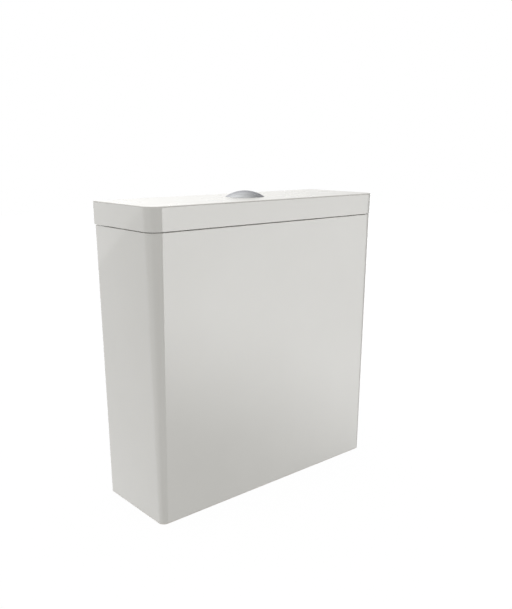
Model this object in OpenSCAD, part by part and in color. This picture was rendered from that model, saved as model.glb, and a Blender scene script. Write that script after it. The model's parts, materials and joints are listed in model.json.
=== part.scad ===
// Close-coupled toilet cistern: a glazed ceramic tank and lift-off lid, a domed
// two-part push button, a lever-lifted flush valve and a float-operated fill valve.
// Millimetres. +Z is up, -Y is the front. The origin is the middle of the tank's foot.

/* [Tank] */
// Width of the tank
tank_w = 370; // [340:1:420]
// Depth of the tank, front to back
tank_d = 122; // [116:1:170]
// Height of the tank, from its foot to its rim
tank_h = 357; // [330:1:420]
// Thickness of the tank's walls
tank_wall = 9; // [7:0.5:11]
// Thickness of the tank's floor
floor_t = 10; // [8:0.5:14]
// Height of the hollow under the floor, which hides the nuts and tails
recess_h = 34; // [32:1:45]
// Radius of the two front upright corners at the rim
corner_r = 15; // [12:0.5:30]
// Radius of the two front upright corners at the foot
foot_corner_r = 8.5; // [6:0.5:12]
// Radius of the two back upright corners
back_r = 2; // [1:0.5:6]
// Radius of the upright corners inside the tank
inner_r = 6; // [3:0.5:10]
// Distance of each pan bolt hole from the middle
pan_bolt_x = 75; // [70:0.5:85]
// Radius of a pan bolt hole
pan_bolt_r = 6; // [5:0.25:7]
// Distance of each wall screw hole from the middle
wall_screw_x = 120; // [90:1:140]
// Distance of the wall screw holes below the rim
wall_screw_drop = 35; // [25:1:50]
// Radius of a wall screw hole
wall_screw_r = 4; // [3:0.25:5]

/* [Lid] */
// Height of the lid's outer face
lid_h = 27.4; // [22:0.2:34]
// Open joint between the lid and the tank's rim
lid_gap = 0.7; // [0.5:0.1:3]
// Thickness of the lid's top
lid_top_t = 9; // [7:0.5:11]
// Thickness of the lid's skirt
lid_wall = 9; // [7:0.5:11]
// How far the lid stands out past the tank at each side
lid_over_side = 0.5; // [0:0.1:3]
// How far the lid stands out past the tank at the front
lid_over_front = 0.5; // [0:0.1:3]
// How far the lid stands out past the tank at the back
lid_over_back = 2; // [0:0.1:3]
// How far the locating lugs reach below the rim
lug_reach = 6; // [4:0.5:12]
// Thickness of a locating lug
lug_t = 5; // [4:0.5:8]
// Length of a locating lug
lug_len = 30; // [15:1:40]
// Clearance between a lug and the tank's wall
lug_gap = 2; // [1:0.25:4]
// Distance of the front and back lugs from the middle
lug_x = 100; // [80:1:130]
// Diameter of a rubber pad under the lid
pad_d = 6; // [4:0.5:6.5]
// Distance of the pads from the middle, front to back
pad_y = 36; // [20:1:40]

/* [Push button] */
// Diameter of the domed button with its ring
dome_d = 50; // [49:0.5:60]
// Height of the dome above the lid
dome_h = 7.7; // [7:0.1:12]
// Upright edge of the ring at the lid
dome_edge = 0.3; // [0.2:0.1:1.2]
// Diameter of the two buttons together
button_d = 38.4; // [37:0.2:39]
// Place of the parting line between the two buttons
split_x = 3; // [2:0.25:3.25]
// Width of the parting line
split_gap = 0.5; // [0.4:0.1:0.8]
// Depth of a button's skirt below the top of the lid
button_skirt = 4; // [3:0.5:6]
// Side place of the full flush button's stem
full_x = -8; // [-9:0.25:-7.5]
// Side place of the half flush button's stem
half_x = 11; // [10.5:0.25:11.5]
// Radius of a button's stem
stem_r = 3.5; // [3:0.1:3.6]
// Length of a stem below the housing's floor
stem_drop = 7; // [6:0.5:9]
// Wall of the button housing
housing_wall = 1.8; // [1.5:0.1:2.2]
// Depth of the housing below the top of the lid
housing_h = 27; // [25:0.5:29]
// Thickness of the housing's floor
housing_floor = 3; // [2:0.5:4]
// Radius of the housing's flange under the ring
flange_r = 22.8; // [22.7:0.1:23]
// Thickness of the housing's flange
flange_t = 1; // [0.8:0.1:1.1]
// Width of the housing's nut
nut_band = 6.4; // [5:0.2:8]
// Height of the housing's nut
nut_h = 6; // [5:0.5:7]
// Thickness of the washer between that nut and the lid
nut_washer_t = 1.5; // [1:0.25:2]
// Wire of a return spring
spring_wire = 1.2; // [0.8:0.1:1.4]
// Radius of a return spring, at the middle of its wire
spring_r = 5; // [4.8:0.1:5.1]
// Turns of a return spring
spring_turns = 7; // [5:1:8]
// Radius of a push rod
rod_r = 2.5; // [2:0.1:2.6]
// How far a push rod is screwed into its stem
rod_in = 8; // [6:0.5:10]
// Corner radius of a push rod's lock nut
rod_nut_r = 5; // [4:0.25:6]
// Height of a push rod's lock nut
rod_nut_h = 3; // [2:0.25:4]
// Thickness of the clip that keeps a button in
clip_t = 1; // [0.8:0.1:1.5]
// Width of that clip around the stem
clip_band = 2.5; // [2:0.25:3]
// Height of the spring's pocket above the top of the lid
pocket_rise = 1; // [0.5:0.25:1.5]

/* [Flush valve] */
// Radius of the valve's threaded tail
tail_r = 30; // [28:0.5:31]
// Radius of the outlet through the tail
outlet_r = 25; // [23:0.5:26]
// Height of the tail's end above the tank's foot
tail_end = 8; // [4:1:12]
// Radius of the base's flange
base_r = 42; // [38:0.5:46]
// How far the flange stands out past the hooks on it
base_edge = 0.5; // [0.5:0.25:2]
// Wall of those hooks, which hold the cage down
hook_wall = 3.2; // [2.5:0.1:4]
// Thickness of the base's flange
base_t = 5.5; // [4.5:0.5:7]
// Height of the raised seat on the flange
seat_h = 4; // [3:0.5:5]
// Width of the raised seat
seat_w = 4; // [3:0.25:4.5]
// How far the seat's bore is inside the outlet's
seat_step = 1; // [0.5:0.25:1.5]
// Thickness of the gasket under the flange
gasket_t = 2.5; // [2:0.25:4]
// Room between the flush seal and the basket around it
seal_room = 1.5; // [1:0.25:3]
// Thickness of the flush seal
seal_t = 3; // [2:0.25:4]
// Thickness of the tube's flange on the seal
tube_flange_t = 3; // [2:0.25:4]
// Height of the back nut
backnut_h = 12; // [10:0.5:14]
// Corner radius of the back nut
backnut_r = 46; // [44:0.5:50]
// Radius of the coupling gasket between the tank and the pan
coupling_r = 45; // [42:0.5:52]
// Clearance of the coupling gasket above the tank's foot
coupling_rise = 2; // [1:0.5:4]
// Wall of the basket
basket_wall = 2.5; // [2:0.25:2.75]
// Height of the basket above the base
basket_h = 73; // [60:1:90]
// Thickness of the basket's roof
roof_t = 4; // [3:0.25:5]
// Width of each window in the basket
window_w = 34; // [24:1:38]
// Width of the basket's foot, outside its wall
foot_band = 2; // [1.5:0.25:2.5]
// Height of the basket's foot
foot_h = 5; // [4:0.5:6]
// Radius of the overflow tube
tube_r = 14; // [13:0.25:14.25]
// Wall of the overflow tube
tube_wall = 2; // [1.5:0.25:2.5]
// Wall of the cage's guide column
column_wall = 3.6; // [3:0.2:4]
// Radius of the flange on top of the guide column
crown_r = 31; // [30:0.5:34]
// Thickness of that flange
crown_t = 4; // [3:0.5:5]
// Distance of the rockers' pivots below the rim
pivot_drop = 27; // [24:0.5:32]
// Distance of the overflow tube's top below the pivots
tube_drop = 42; // [42:0.5:60]
// Distance of the lifting collar below the tube's top
collar_drop = 18; // [16:0.5:30]
// Reach of a rocker from its pivot to its push rod
rocker_in = 16; // [15:0.5:17]
// Reach of a rocker from its pivot to its lifting finger
rocker_out = 24; // [22:0.5:27]
// Width of a rocker
rocker_w = 7; // [6:0.5:8]
// Radius of a rocker's lifting finger
finger_r = 3; // [2.5:0.1:3.5]
// Radius of a rocker's pivot pin
pivot_r = 2; // [1.5:0.1:2.5]
// Radius of a rocker's hub
hub_r = 5.5; // [4.5:0.25:6]
// Thickness of a rocker's arms
arm_t = 4.5; // [3.5:0.25:5]
// Radius of the lifting rings around the tube
lift_ring_r = 20; // [19:0.5:21]
// Overlap of an arm's root with the lift ring
arm_root = 5; // [3:0.5:5]
// Height of a lifting ring
lift_ring_h = 5; // [4:0.5:6]
// Thickness of the arms and legs that hang from a rocker
stirrup_t = 3; // [2.5:0.25:3.5]
// Width of a stirrup's leg
stirrup_w = 8; // [6:0.5:9]
// Width of the bar over a rocker's finger
cross_w = 12; // [11:0.5:13]
// Thickness of that bar
cross_t = 4; // [3:0.25:5]
// Distance of the bridge's plate below the pivots
bridge_drop = 27; // [27:0.5:28]
// Thickness of the bridge's plate
bridge_t = 4; // [3:0.5:5]
// Distance of each bridge post from the middle
post_y = 26; // [25.5:0.5:27]
// Thickness of a bridge post
post_t = 5; // [4:0.5:6]
// Width of a bridge post
post_w = 10; // [8:0.5:12]
// Radius of the peg under a post
peg_r = 2; // [1.5:0.25:2.5]
// Thickness of an ear that holds a pin
ear_t = 4; // [3:0.25:4.5]
// Outer radius of the half flush float
half_float_r = 29; // [26:0.5:31]
// Height of the half flush float
half_float_h = 42; // [30:1:50]
// Wall of the half flush float
half_float_wall = 1.8; // [1.5:0.1:2.2]
// Height of the half flush float's stop above the basket
half_float_stop_rise = 8; // [4:0.5:20]
// Height of that stop
half_float_stop_h = 3; // [2:0.5:5]

/* [Fill valve] */
// Distance of each inlet hole from the inside of the tank's end wall
inlet_edge = 48; // [46:0.5:54]
// Radius of the threaded inlet tail
inlet_r = 10.4; // [10:0.1:10.5]
// Radius of the bore through the inlet tail
inlet_bore = 5.5; // [5:0.1:6]
// Radius of the flange inside the tank
inlet_flange_r = 17.5; // [16:0.5:20]
// Thickness of that flange
inlet_flange_t = 4.5; // [3:0.5:6]
// Thickness of the washer under that flange
washer_t = 2.5; // [2:0.25:4]
// Height of the inlet tail's end above the tank's foot
inlet_end = 2; // [1:0.5:5]
// Wall of the strainer in the tail
strainer_wall = 2; // [1.5:0.25:2.5]
// Height of the strainer
strainer_h = 20; // [14:1:24]
// Distance of the strainer from the tail's end
strainer_rise = 4; // [2:0.5:6]
// Height of an inlet nut
inlet_nut_h = 9; // [7:0.5:11]
// Corner radius of an inlet nut
inlet_nut_r = 18; // [16.5:0.5:20]
// Radius of the riser pipe
riser_r = 8; // [7.5:0.1:8.5]
// Inner radius of the outer sleeve
sleeve_in = 11; // [10.5:0.25:11.5]
// Outer radius of the outer sleeve
sleeve_r = 13.5; // [13:0.25:14]
// Distance of the valve head below the rim
head_drop = 80; // [76:1:95]
// Radius of the valve head
head_r = 20; // [19:0.5:21]
// Height of the valve head
head_h = 24; // [18:0.5:28]
// Height of the cap on the valve head
cap_h = 8; // [7:0.5:10]
// How far the cap stands out past the head
cap_band = 1.5; // [1:0.25:2]
// Thickness of the diaphragm
diaphragm_t = 2; // [1.5:0.25:3]
// How far the diaphragm lies inside the head's edge
diaphragm_inset = 3; // [2:0.25:4]
// Height of the float
float_h = 72; // [50:1:90]
// Depth of the float, front to back
float_d = 56; // [44:1:70]
// Wall of the float
float_wall = 2; // [1.5:0.25:3]
// Rise of the float between empty and full
float_rise = 9; // [6:0.5:9]
// Room between the full float and the valve head
float_room = 6; // [3:0.5:12]
// Reach of the float past its rod
float_far = 11; // [8:0.5:13]
// Reach of the float past the sleeve on its other side
float_near = 8.5; // [6:0.5:16]
// Radius of the float's rod
float_rod_r = 2.5; // [2:0.1:2.6]
// Depth of the rod's socket in the float
socket_h = 10; // [6:0.5:14]
// How far the float's rod stands above the lever's pivot
float_rod_over = 12; // [8:0.5:16]
// Radius of the cross nut on the rod
barrel_r = 4.5; // [4:0.1:5]
// Distance of the float's rod from the riser
float_rod_x = 31; // [30:0.5:32]
// Distance of the lever's pivot from the riser
lever_x = 9; // [8:0.5:10]
// Height of the lever's pivot above the cap
lever_rise = 8.2; // [8:0.1:10]
// Width of the lever
lever_w = 6; // [5:0.5:7]
// Thickness of the lever
lever_t = 5; // [4:0.25:5.5]
// Width of each prong of the lever's fork
prong_w = 2.8; // [2:0.2:4]
// Radius of the lever's pin
lever_pin_r = 1.5; // [1:0.1:1.8]
// Radius of the lever's hub
lever_hub_r = 4.5; // [4:0.25:5]

/* [Clearances] */
// Gap between pieces that slide on each other
slide_gap = 0.3; // [0.2:0.05:0.4]
// Gap between a pin and the piece that turns on it
pin_gap = 0.05; // [0.02:0.01:0.1]
// Gap between a fixed piece and the hole it is fitted in
fit_gap = 0.2; // [0.1:0.05:0.4]
// Gap between a lifting face and the piece that it lifts
lift_gap = 0.3; // [0.2:0.05:0.4]
// Gap between a tube and the longer guide that it slides in or on
guide_gap = 0.4; // [0.3:0.05:0.6]
// Gap between a lever's side and the ears of its pin
ear_gap = 0.5; // [0.3:0.1:0.8]
// Gap between the housing and the hole in the lid
lid_hole_gap = 0.6; // [0.4:0.1:1]
// Gap between a tail and its hole in the floor
floor_hole_gap = 1.3; // [0.8:0.1:1.6]
// Room around a return spring
spring_room = 0.8; // [0.5:0.1:0.9]
// Gap between the float's rod and the lever's fork
fork_gap = 0.7; // [0.5:0.1:1]

/* [Hidden] */
$fn = 64;
// How deep joined shapes run into each other, and how far cuts run past a face
bite = 1;

// Tank and lid
floor_top = recess_h + floor_t;
in_w = tank_w - 2 * tank_wall;
in_d = tank_d - 2 * tank_wall;
lid_bottom = tank_h + lid_gap;
lid_top = lid_bottom + lid_h;
lid_under = lid_top - lid_top_t;
lid_w = tank_w + 2 * lid_over_side;
lid_d = tank_d + lid_over_front + lid_over_back;
lid_shift = (lid_over_back - lid_over_front) / 2;

// Push button
dome_r = dome_d / 2;
button_r = button_d / 2;
cap_rise = dome_h - dome_edge;
sphere_r = (pow(dome_r, 2) + pow(cap_rise, 2)) / (2 * cap_rise);
housing_in = button_r + guide_gap;
housing_r = housing_in + housing_wall;
lid_hole_r = housing_r + lid_hole_gap;
housing_bottom = lid_top - housing_h;
spring_bottom = housing_bottom + housing_floor;
pocket_r = spring_r + spring_wire / 2 + spring_room;
pocket_top = lid_top + pocket_rise;
stem_bottom = housing_bottom - stem_drop;

// Flush valve, from the floor up
base_z = floor_top + gasket_t;
base_top = base_z + base_t;
seat_z = base_top + seat_h;
seat_in = outlet_r - seat_step;
backnut_z = recess_h - backnut_h;
foot_r = base_r - base_edge - hook_wall - slide_gap;
basket_r = foot_r - foot_band;
seal_r = basket_r - basket_wall - seal_room;
basket_top = base_top + basket_h;
guide_r = tube_r + guide_gap;
column_r = guide_r + column_wall;
pivot_z = tank_h - pivot_drop;
tube_top = pivot_z - tube_drop;
collar_z = tube_top - collar_drop;
yoke_z = collar_z - lift_gap - lift_ring_h;
crown_top = yoke_z - fit_gap;
bridge_z = pivot_z - bridge_drop;
full_pivot_x = full_x - rocker_in;
half_pivot_x = half_x + rocker_in;
half_float_stop_z = basket_top + roof_t + half_float_stop_rise;
half_float_z = half_float_stop_z + half_float_stop_h + fit_gap;

// Fill valve
inlet_x = in_w / 2 - inlet_edge;
inlet_z = floor_top + washer_t;
sleeve_z = inlet_z + inlet_flange_t;
strainer_r = inlet_bore + strainer_wall;
strainer_z = inlet_end + strainer_rise;
strainer_end = strainer_z + strainer_h;
head_z = tank_h - head_drop;
cap_z = head_z + head_h;
cap_top = cap_z + cap_h;
diaphragm_r = head_r - diaphragm_inset;
lever_z = cap_top + lever_rise;
lever_arm = float_rod_x - lever_x;
fork_in = float_rod_r + fork_gap;
fork_out = fork_in + prong_w;
float_top = head_z - float_rise - float_room;
float_z = float_top - float_h;

// Shared shapes

// Outline of a box seen from above, with its own front and back corner radii.
module plan(w, d, front_r, rear_r) {
    translate([-w / 2, -d / 2 + front_r]) square([w, d - front_r - rear_r]);
    translate([-w / 2 + front_r, -d / 2]) square([w - 2 * front_r, front_r + bite]);
    translate([-w / 2 + rear_r, d / 2 - rear_r - bite]) square([w - 2 * rear_r, rear_r + bite]);
    for (side = [-1, 1]) {
        translate([side * (w / 2 - front_r), -d / 2 + front_r]) circle(r = front_r);
        translate([side * (w / 2 - rear_r), d / 2 - rear_r]) circle(r = rear_r);
    }
}

module ring(inner, outer, h) {
    difference() {
        cylinder(r = outer, h = h);
        translate([0, 0, -bite]) cylinder(r = inner, h = h + 2 * bite);
    }
}

// A nut with flat sides and a round bore.
module nut(bore, corner, h, sides) {
    difference() {
        cylinder(r = corner, h = h, $fn = sides);
        translate([0, 0, -bite]) cylinder(r = bore, h = h + 2 * bite);
    }
}

// A round bar along Y, centred on y = 0.
module bar_y(r, len) {
    rotate([90, 0, 0]) cylinder(r = r, h = len, center = true);
}

module at_inlet(side) {
    translate([side * inlet_x, 0, 0]) children();
}

// Ceramic tank and lid

module tank() {
    color("whitesmoke")
    difference() {
        hull() {
            linear_extrude(bite) plan(tank_w, tank_d, foot_corner_r, back_r);
            translate([0, 0, tank_h - bite]) linear_extrude(bite) plan(tank_w, tank_d, corner_r, back_r);
        }
        translate([0, 0, floor_top]) linear_extrude(tank_h) plan(in_w, in_d, inner_r, inner_r);
        translate([0, 0, -bite]) linear_extrude(recess_h + bite) plan(in_w, in_d, inner_r, inner_r);
        translate([0, 0, recess_h - bite]) cylinder(r = tail_r + floor_hole_gap, h = floor_t + 2 * bite);
        for (side = [-1, 1]) {
            translate([side * inlet_x, 0, recess_h - bite])
                cylinder(r = inlet_r + floor_hole_gap, h = floor_t + 2 * bite);
            translate([side * pan_bolt_x, 0, recess_h - bite])
                cylinder(r = pan_bolt_r, h = floor_t + 2 * bite);
            translate([side * wall_screw_x, tank_d / 2 - tank_wall / 2, tank_h - wall_screw_drop])
                bar_y(wall_screw_r, tank_wall + 2 * bite);
        }
    }
}

// A lug hangs from the lid's top along its skirt, and steps in to pass inside the rim.
module lug(skirt_in, lug_out) {
    lug_in = lug_out - lug_t;
    translate([-lug_len / 2, lug_in, lid_bottom])
        cube([lug_len, skirt_in - lug_in + bite, lid_h - lid_top_t + bite]);
    translate([-lug_len / 2, lug_in, tank_h - lug_reach])
        cube([lug_len, lug_t, lug_reach + lid_gap + bite]);
}

module lid() {
    skirt_w = lid_w - 2 * lid_wall;
    skirt_d = lid_d - 2 * lid_wall;
    lug_out_y = in_d / 2 - lug_gap;
    lug_out_x = in_w / 2 - lug_gap;
    color("whitesmoke")
    difference() {
        union() {
            difference() {
                translate([0, lid_shift, lid_bottom])
                    linear_extrude(lid_h) plan(lid_w, lid_d, corner_r + lid_over_side, back_r);
                translate([0, lid_shift, lid_bottom - bite])
                    linear_extrude(lid_h - lid_top_t + bite)
                    plan(skirt_w, skirt_d, inner_r, inner_r);
            }
            for (side = [-1, 1]) {
                translate([side * lug_x, 0, 0]) {
                    lug(skirt_d / 2 + lid_shift, lug_out_y);
                    rotate([0, 0, 180]) lug(skirt_d / 2 - lid_shift, lug_out_y);
                }
                rotate([0, 0, -90 * side]) lug(skirt_w / 2, lug_out_x);
            }
        }
        translate([0, 0, lid_under - bite]) cylinder(r = lid_hole_r, h = lid_top_t + 2 * bite);
    }
}

module lid_pads() {
    color("lightgray")
    for (side = [-1, 1], end = [-1, 1])
        translate([side * (tank_w - tank_wall) / 2, end * pad_y, tank_h])
            cylinder(d = pad_d, h = lid_gap);
}

// Push button

// The domed cap that the ring and both buttons are cut from.
module dome() {
    intersection() {
        translate([0, 0, lid_top + dome_h - sphere_r]) sphere(r = sphere_r, $fn = 128);
        translate([0, 0, lid_top - button_skirt])
            cylinder(r = dome_r, h = button_skirt + dome_h + bite);
    }
}

module button_ring() {
    color("silver")
    difference() {
        dome();
        translate([0, 0, lid_top - button_skirt - bite])
            cylinder(r = dome_r + bite, h = button_skirt + bite);
        translate([0, 0, lid_top - bite]) cylinder(r = housing_in, h = dome_h + 2 * bite);
        translate([0, 0, lid_top - bite]) cylinder(r = flange_r + fit_gap, h = flange_t + bite);
    }
}

module button_housing() {
    color("white")
    difference() {
        union() {
            translate([0, 0, housing_bottom]) cylinder(r = housing_r, h = housing_h + flange_t);
            translate([0, 0, lid_top]) cylinder(r = flange_r, h = flange_t);
        }
        translate([0, 0, spring_bottom]) cylinder(r = housing_in, h = housing_h + flange_t);
        for (x = [full_x, half_x])
            translate([x, 0, housing_bottom - bite])
                cylinder(r = stem_r + slide_gap, h = housing_floor + 2 * bite);
    }
}

module housing_nut() {
    color("white")
    translate([0, 0, lid_under - nut_washer_t - nut_h])
        nut(housing_r + fit_gap, housing_r + nut_band, nut_h, 8);
}

module housing_washer() {
    color("dimgray")
    translate([0, 0, lid_under - nut_washer_t])
        ring(housing_r + fit_gap, housing_r + nut_band, nut_washer_t);
}

// One of the two buttons: side -1 is left of the parting line, 1 is right of it.
module button(side, stem_x) {
    half_gap = split_gap / 2;
    keep_x = side < 0 ? split_x - half_gap - dome_d : split_x + half_gap;
    difference() {
        intersection() {
            dome();
            translate([0, 0, lid_top - button_skirt - bite]) cylinder(r = button_r, h = dome_d);
            translate([keep_x, -dome_r, lid_top - dome_d]) cube([dome_d, dome_d, 2 * dome_d]);
        }
        translate([stem_x, 0, lid_top - button_skirt - bite])
            ring(stem_r - bite / 2, pocket_r, pocket_top - lid_top + button_skirt + bite);
    }
    difference() {
        translate([stem_x, 0, stem_bottom]) cylinder(r = stem_r, h = pocket_top - stem_bottom + bite);
        translate([stem_x, 0, stem_bottom - bite]) cylinder(r = rod_r, h = rod_in + bite);
    }
}

module full_button() { color("silver") button(-1, full_x); }

module half_button() { color("silver") button(1, half_x); }

// Keeps a button from lifting out of the housing.
module stem_clip(x) {
    translate([x, 0, housing_bottom - fit_gap - clip_t]) ring(stem_r, stem_r + clip_band, clip_t);
}

module full_clip() { color("gray") stem_clip(full_x); }

module half_clip() { color("gray") stem_clip(half_x); }

// A push rod with a round tip that bears on its rocker.
module push_rod(x) {
    tip = pivot_z + lift_gap;
    translate([x, 0, tip + rod_r]) {
        sphere(r = rod_r);
        cylinder(r = rod_r, h = stem_bottom + rod_in - tip - rod_r);
    }
}

module full_rod() { color("steelblue") push_rod(full_x); }

module half_rod() { color("steelblue") push_rod(half_x); }

module rod_nut(x) {
    translate([x, 0, stem_bottom - rod_nut_h]) nut(rod_r, rod_nut_r, rod_nut_h, 6);
}

module full_rod_nut() { color("white") rod_nut(full_x); }

module half_rod_nut() { color("white") rod_nut(half_x); }

// Return spring: one round wire on a helix, with its ends cut square to the wire.
spring_sides = 6;
spring_rings = 8;
spring_foot = 0.1;
spring_span = pocket_top - spring_bottom - spring_wire - 2 * spring_foot;
spring_steps = spring_turns * spring_rings;

function spring_point(i, a) =
    let (turn = 360 * i / spring_rings, out = spring_r + spring_wire / 2 * cos(a))
    [out * cos(turn), out * sin(turn), spring_span * i / spring_steps + spring_wire / 2 * sin(a)];

spring_points = [for (i = [0:spring_steps], s = [0:spring_sides - 1])
    spring_point(i, 360 * s / spring_sides)];

function spring_corner(i, s) = i * spring_sides + s % spring_sides;

spring_faces = concat(
    [for (s = [1:spring_sides - 2]) [0, s, s + 1]],
    [for (s = [1:spring_sides - 2]) [for (k = [0, s + 1, s]) spring_corner(spring_steps, k)]],
    [for (i = [0:spring_steps - 1], s = [0:spring_sides - 1])
        [spring_corner(i, s), spring_corner(i + 1, s), spring_corner(i + 1, s + 1)]],
    [for (i = [0:spring_steps - 1], s = [0:spring_sides - 1])
        [spring_corner(i, s), spring_corner(i + 1, s + 1), spring_corner(i, s + 1)]]
);

// Least gap between neighbouring turns, measured from wire to wire.
spring_least_gap = min([for (i = [0:spring_steps - spring_rings])
    norm(spring_point(i + spring_rings, 0) - spring_point(i, 0)) - spring_wire]);
echo(spring_least_gap = spring_least_gap);

module spring(x) {
    translate([x, 0, spring_bottom + spring_foot + spring_wire / 2])
        polyhedron(points = spring_points, faces = spring_faces);
}

module full_spring() { color("gainsboro") spring(full_x); }

module half_spring() { color("gainsboro") spring(half_x); }

// Flush valve

// A flange with a raised seat and a threaded tail. Three hooks turn over the cage's foot.
module valve_base() {
    hook_in = foot_r + slide_gap;
    hook_out = hook_in + hook_wall;
    hook_lip = foot_r - foot_band + slide_gap;
    hook_z = base_top + foot_h + slide_gap;
    hook_t = 2;
    hook_turn = 24;
    color("white") {
        difference() {
            union() {
                translate([0, 0, tail_end]) cylinder(r = tail_r, h = base_z - tail_end + bite);
                translate([0, 0, base_z]) cylinder(r = base_r, h = base_t);
                translate([0, 0, base_top - bite]) cylinder(r = seat_in + seat_w, h = seat_h + bite);
            }
            translate([0, 0, tail_end - bite]) cylinder(r = outlet_r, h = base_z - tail_end + bite);
            translate([0, 0, tail_end]) cylinder(r = seat_in, h = seat_z - tail_end + bite);
        }
        for (turn = [0:120:240])
            rotate([0, 0, turn]) rotate_extrude(angle = hook_turn) polygon([
                [hook_in, base_top - bite], [hook_out, base_top - bite], [hook_out, hook_z + hook_t],
                [hook_lip, hook_z + hook_t], [hook_lip, hook_z], [hook_in, hook_z]
            ]);
    }
}

module base_gasket() {
    color("dimgray")
    translate([0, 0, floor_top]) ring(tail_r + fit_gap, base_r, gasket_t);
}

module valve_backnut() {
    color("white")
    translate([0, 0, backnut_z]) nut(tail_r + fit_gap, backnut_r, backnut_h, 8);
}

module coupling_gasket() {
    color("dimgray")
    translate([0, 0, coupling_rise]) ring(tail_r + fit_gap, coupling_r, backnut_z - coupling_rise);
}

// A basket with four windows, and a column that guides the overflow tube.
module valve_cage() {
    window_edge = 4;
    window_h = basket_h - foot_h - 2 * window_edge;
    stop_band = 3;
    color("aliceblue")
    difference() {
        union() {
            translate([0, 0, base_top]) cylinder(r = foot_r, h = foot_h);
            translate([0, 0, base_top]) cylinder(r = basket_r, h = basket_h + roof_t);
            translate([0, 0, basket_top]) cylinder(r = column_r, h = crown_top - basket_top);
            translate([0, 0, crown_top - crown_t]) cylinder(r = crown_r, h = crown_t);
            translate([0, 0, half_float_stop_z]) cylinder(r = column_r + stop_band, h = half_float_stop_h);
        }
        translate([0, 0, base_top - bite]) cylinder(r = basket_r - basket_wall, h = basket_h + bite);
        translate([0, 0, base_top]) cylinder(r = guide_r, h = crown_top);
        for (turn = [0, 90])
            rotate([0, 0, turn])
                translate([-window_w / 2, -basket_r - bite, base_top + foot_h + window_edge])
                    cube([window_w, 2 * (basket_r + bite), window_h]);
        for (side = [-1, 1])
            translate([0, side * post_y, crown_top - crown_t - bite])
                cylinder(r = peg_r + fit_gap, h = crown_t + 2 * bite);
    }
}

// Carries both rockers above the tube, on two posts pegged into the cage's crown.
module bridge() {
    plate_end = 3;
    plate_left = full_pivot_x - hub_r - plate_end;
    plate_right = half_pivot_x + hub_r + plate_end;
    plate_y = post_y + post_t / 2;
    tube_room = 3;
    color("aliceblue") {
        difference() {
            translate([plate_left, -plate_y, bridge_z])
                cube([plate_right - plate_left, 2 * plate_y, bridge_t]);
            translate([0, 0, bridge_z - bite]) cylinder(r = tube_r + tube_room, h = bridge_t + 2 * bite);
        }
        for (side = [-1, 1]) {
            translate([-post_w / 2, side * post_y - post_t / 2, crown_top])
                cube([post_w, post_t, bridge_z - crown_top + bite]);
            translate([0, side * post_y, crown_top - crown_t]) cylinder(r = peg_r, h = crown_t + bite);
            for (x = [full_pivot_x, half_pivot_x])
                translate([x, side * (rocker_w / 2 + ear_gap + ear_t / 2), 0])
                    ear(hub_r, bridge_z, pivot_z, pivot_r);
        }
    }
}

// One of the two ears that hold a pin along Y, from its foot up to the pin.
module ear(r, foot_z, pin_z, pin_r) {
    difference() {
        union() {
            translate([-r, -ear_t / 2, foot_z]) cube([2 * r, ear_t, pin_z - foot_z]);
            translate([0, 0, pin_z]) bar_y(r, ear_t);
        }
        translate([0, 0, pin_z]) bar_y(pin_r, ear_t + 2 * bite);
    }
}

module rocker_pins() {
    color("silver")
    for (x = [full_pivot_x, half_pivot_x])
        translate([x, 0, pivot_z]) bar_y(pivot_r, rocker_w + 2 * (ear_gap + ear_t));
}

// side -1 has its lifting finger on the left. The pad's top is level with the pivot.
module rocker(side, rod_x) {
    pad_margin = 2;
    finger_margin = 2;
    pad_reach = rocker_in + rod_r + pad_margin;
    translate([rod_x + side * rocker_in, 0, pivot_z]) scale([side, 1, 1])
    difference() {
        union() {
            bar_y(hub_r, rocker_w);
            translate([-pad_reach, -rocker_w / 2, -arm_t]) cube([pad_reach, rocker_w, arm_t]);
            translate([0, -rocker_w / 2, -arm_t / 2]) cube([rocker_out, rocker_w, arm_t]);
            translate([rocker_out, 0, 0]) bar_y(finger_r, rocker_w + 2 * finger_margin);
        }
        bar_y(pivot_r + pin_gap, rocker_w + 2 * bite);
    }
}

module full_rocker() { color("deepskyblue") rocker(-1, full_x); }

module half_rocker() { color("yellowgreen") rocker(1, half_x); }

// A ring around the tube with two arms, two legs and a bar over the rocker's finger.
module stirrup(side, rod_x, ring_z, bore) {
    reach = abs(rod_x + side * (rocker_in + rocker_out));
    cross_z = pivot_z + finger_r + lift_gap;
    leg_room = 5.5;
    leg_in = rocker_w / 2 + leg_room;
    arm_start = lift_ring_r - arm_root;
    translate([0, 0, ring_z]) ring(bore, lift_ring_r, lift_ring_h);
    scale([side, 1, 1]) {
        for (edge = [leg_in, -leg_in - stirrup_t]) {
            translate([arm_start, edge, ring_z])
                cube([reach - arm_start + stirrup_w / 2, stirrup_t, lift_ring_h]);
            translate([reach - stirrup_w / 2, edge, ring_z])
                cube([stirrup_w, stirrup_t, cross_z + cross_t - ring_z]);
        }
        translate([reach - cross_w / 2, -leg_in - stirrup_t, cross_z])
            cube([cross_w, 2 * (leg_in + stirrup_t), cross_t]);
    }
}

// Loose on the tube: it lifts the tube by the underside of the tube's own stirrup.
module lift_yoke() {
    yoke_room = 1.6;
    color("deepskyblue") stirrup(-1, full_x, yoke_z, tube_r + yoke_room);
}

module tube_stirrup() { color("yellowgreen") stirrup(1, half_x, collar_z, tube_r); }

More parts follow.
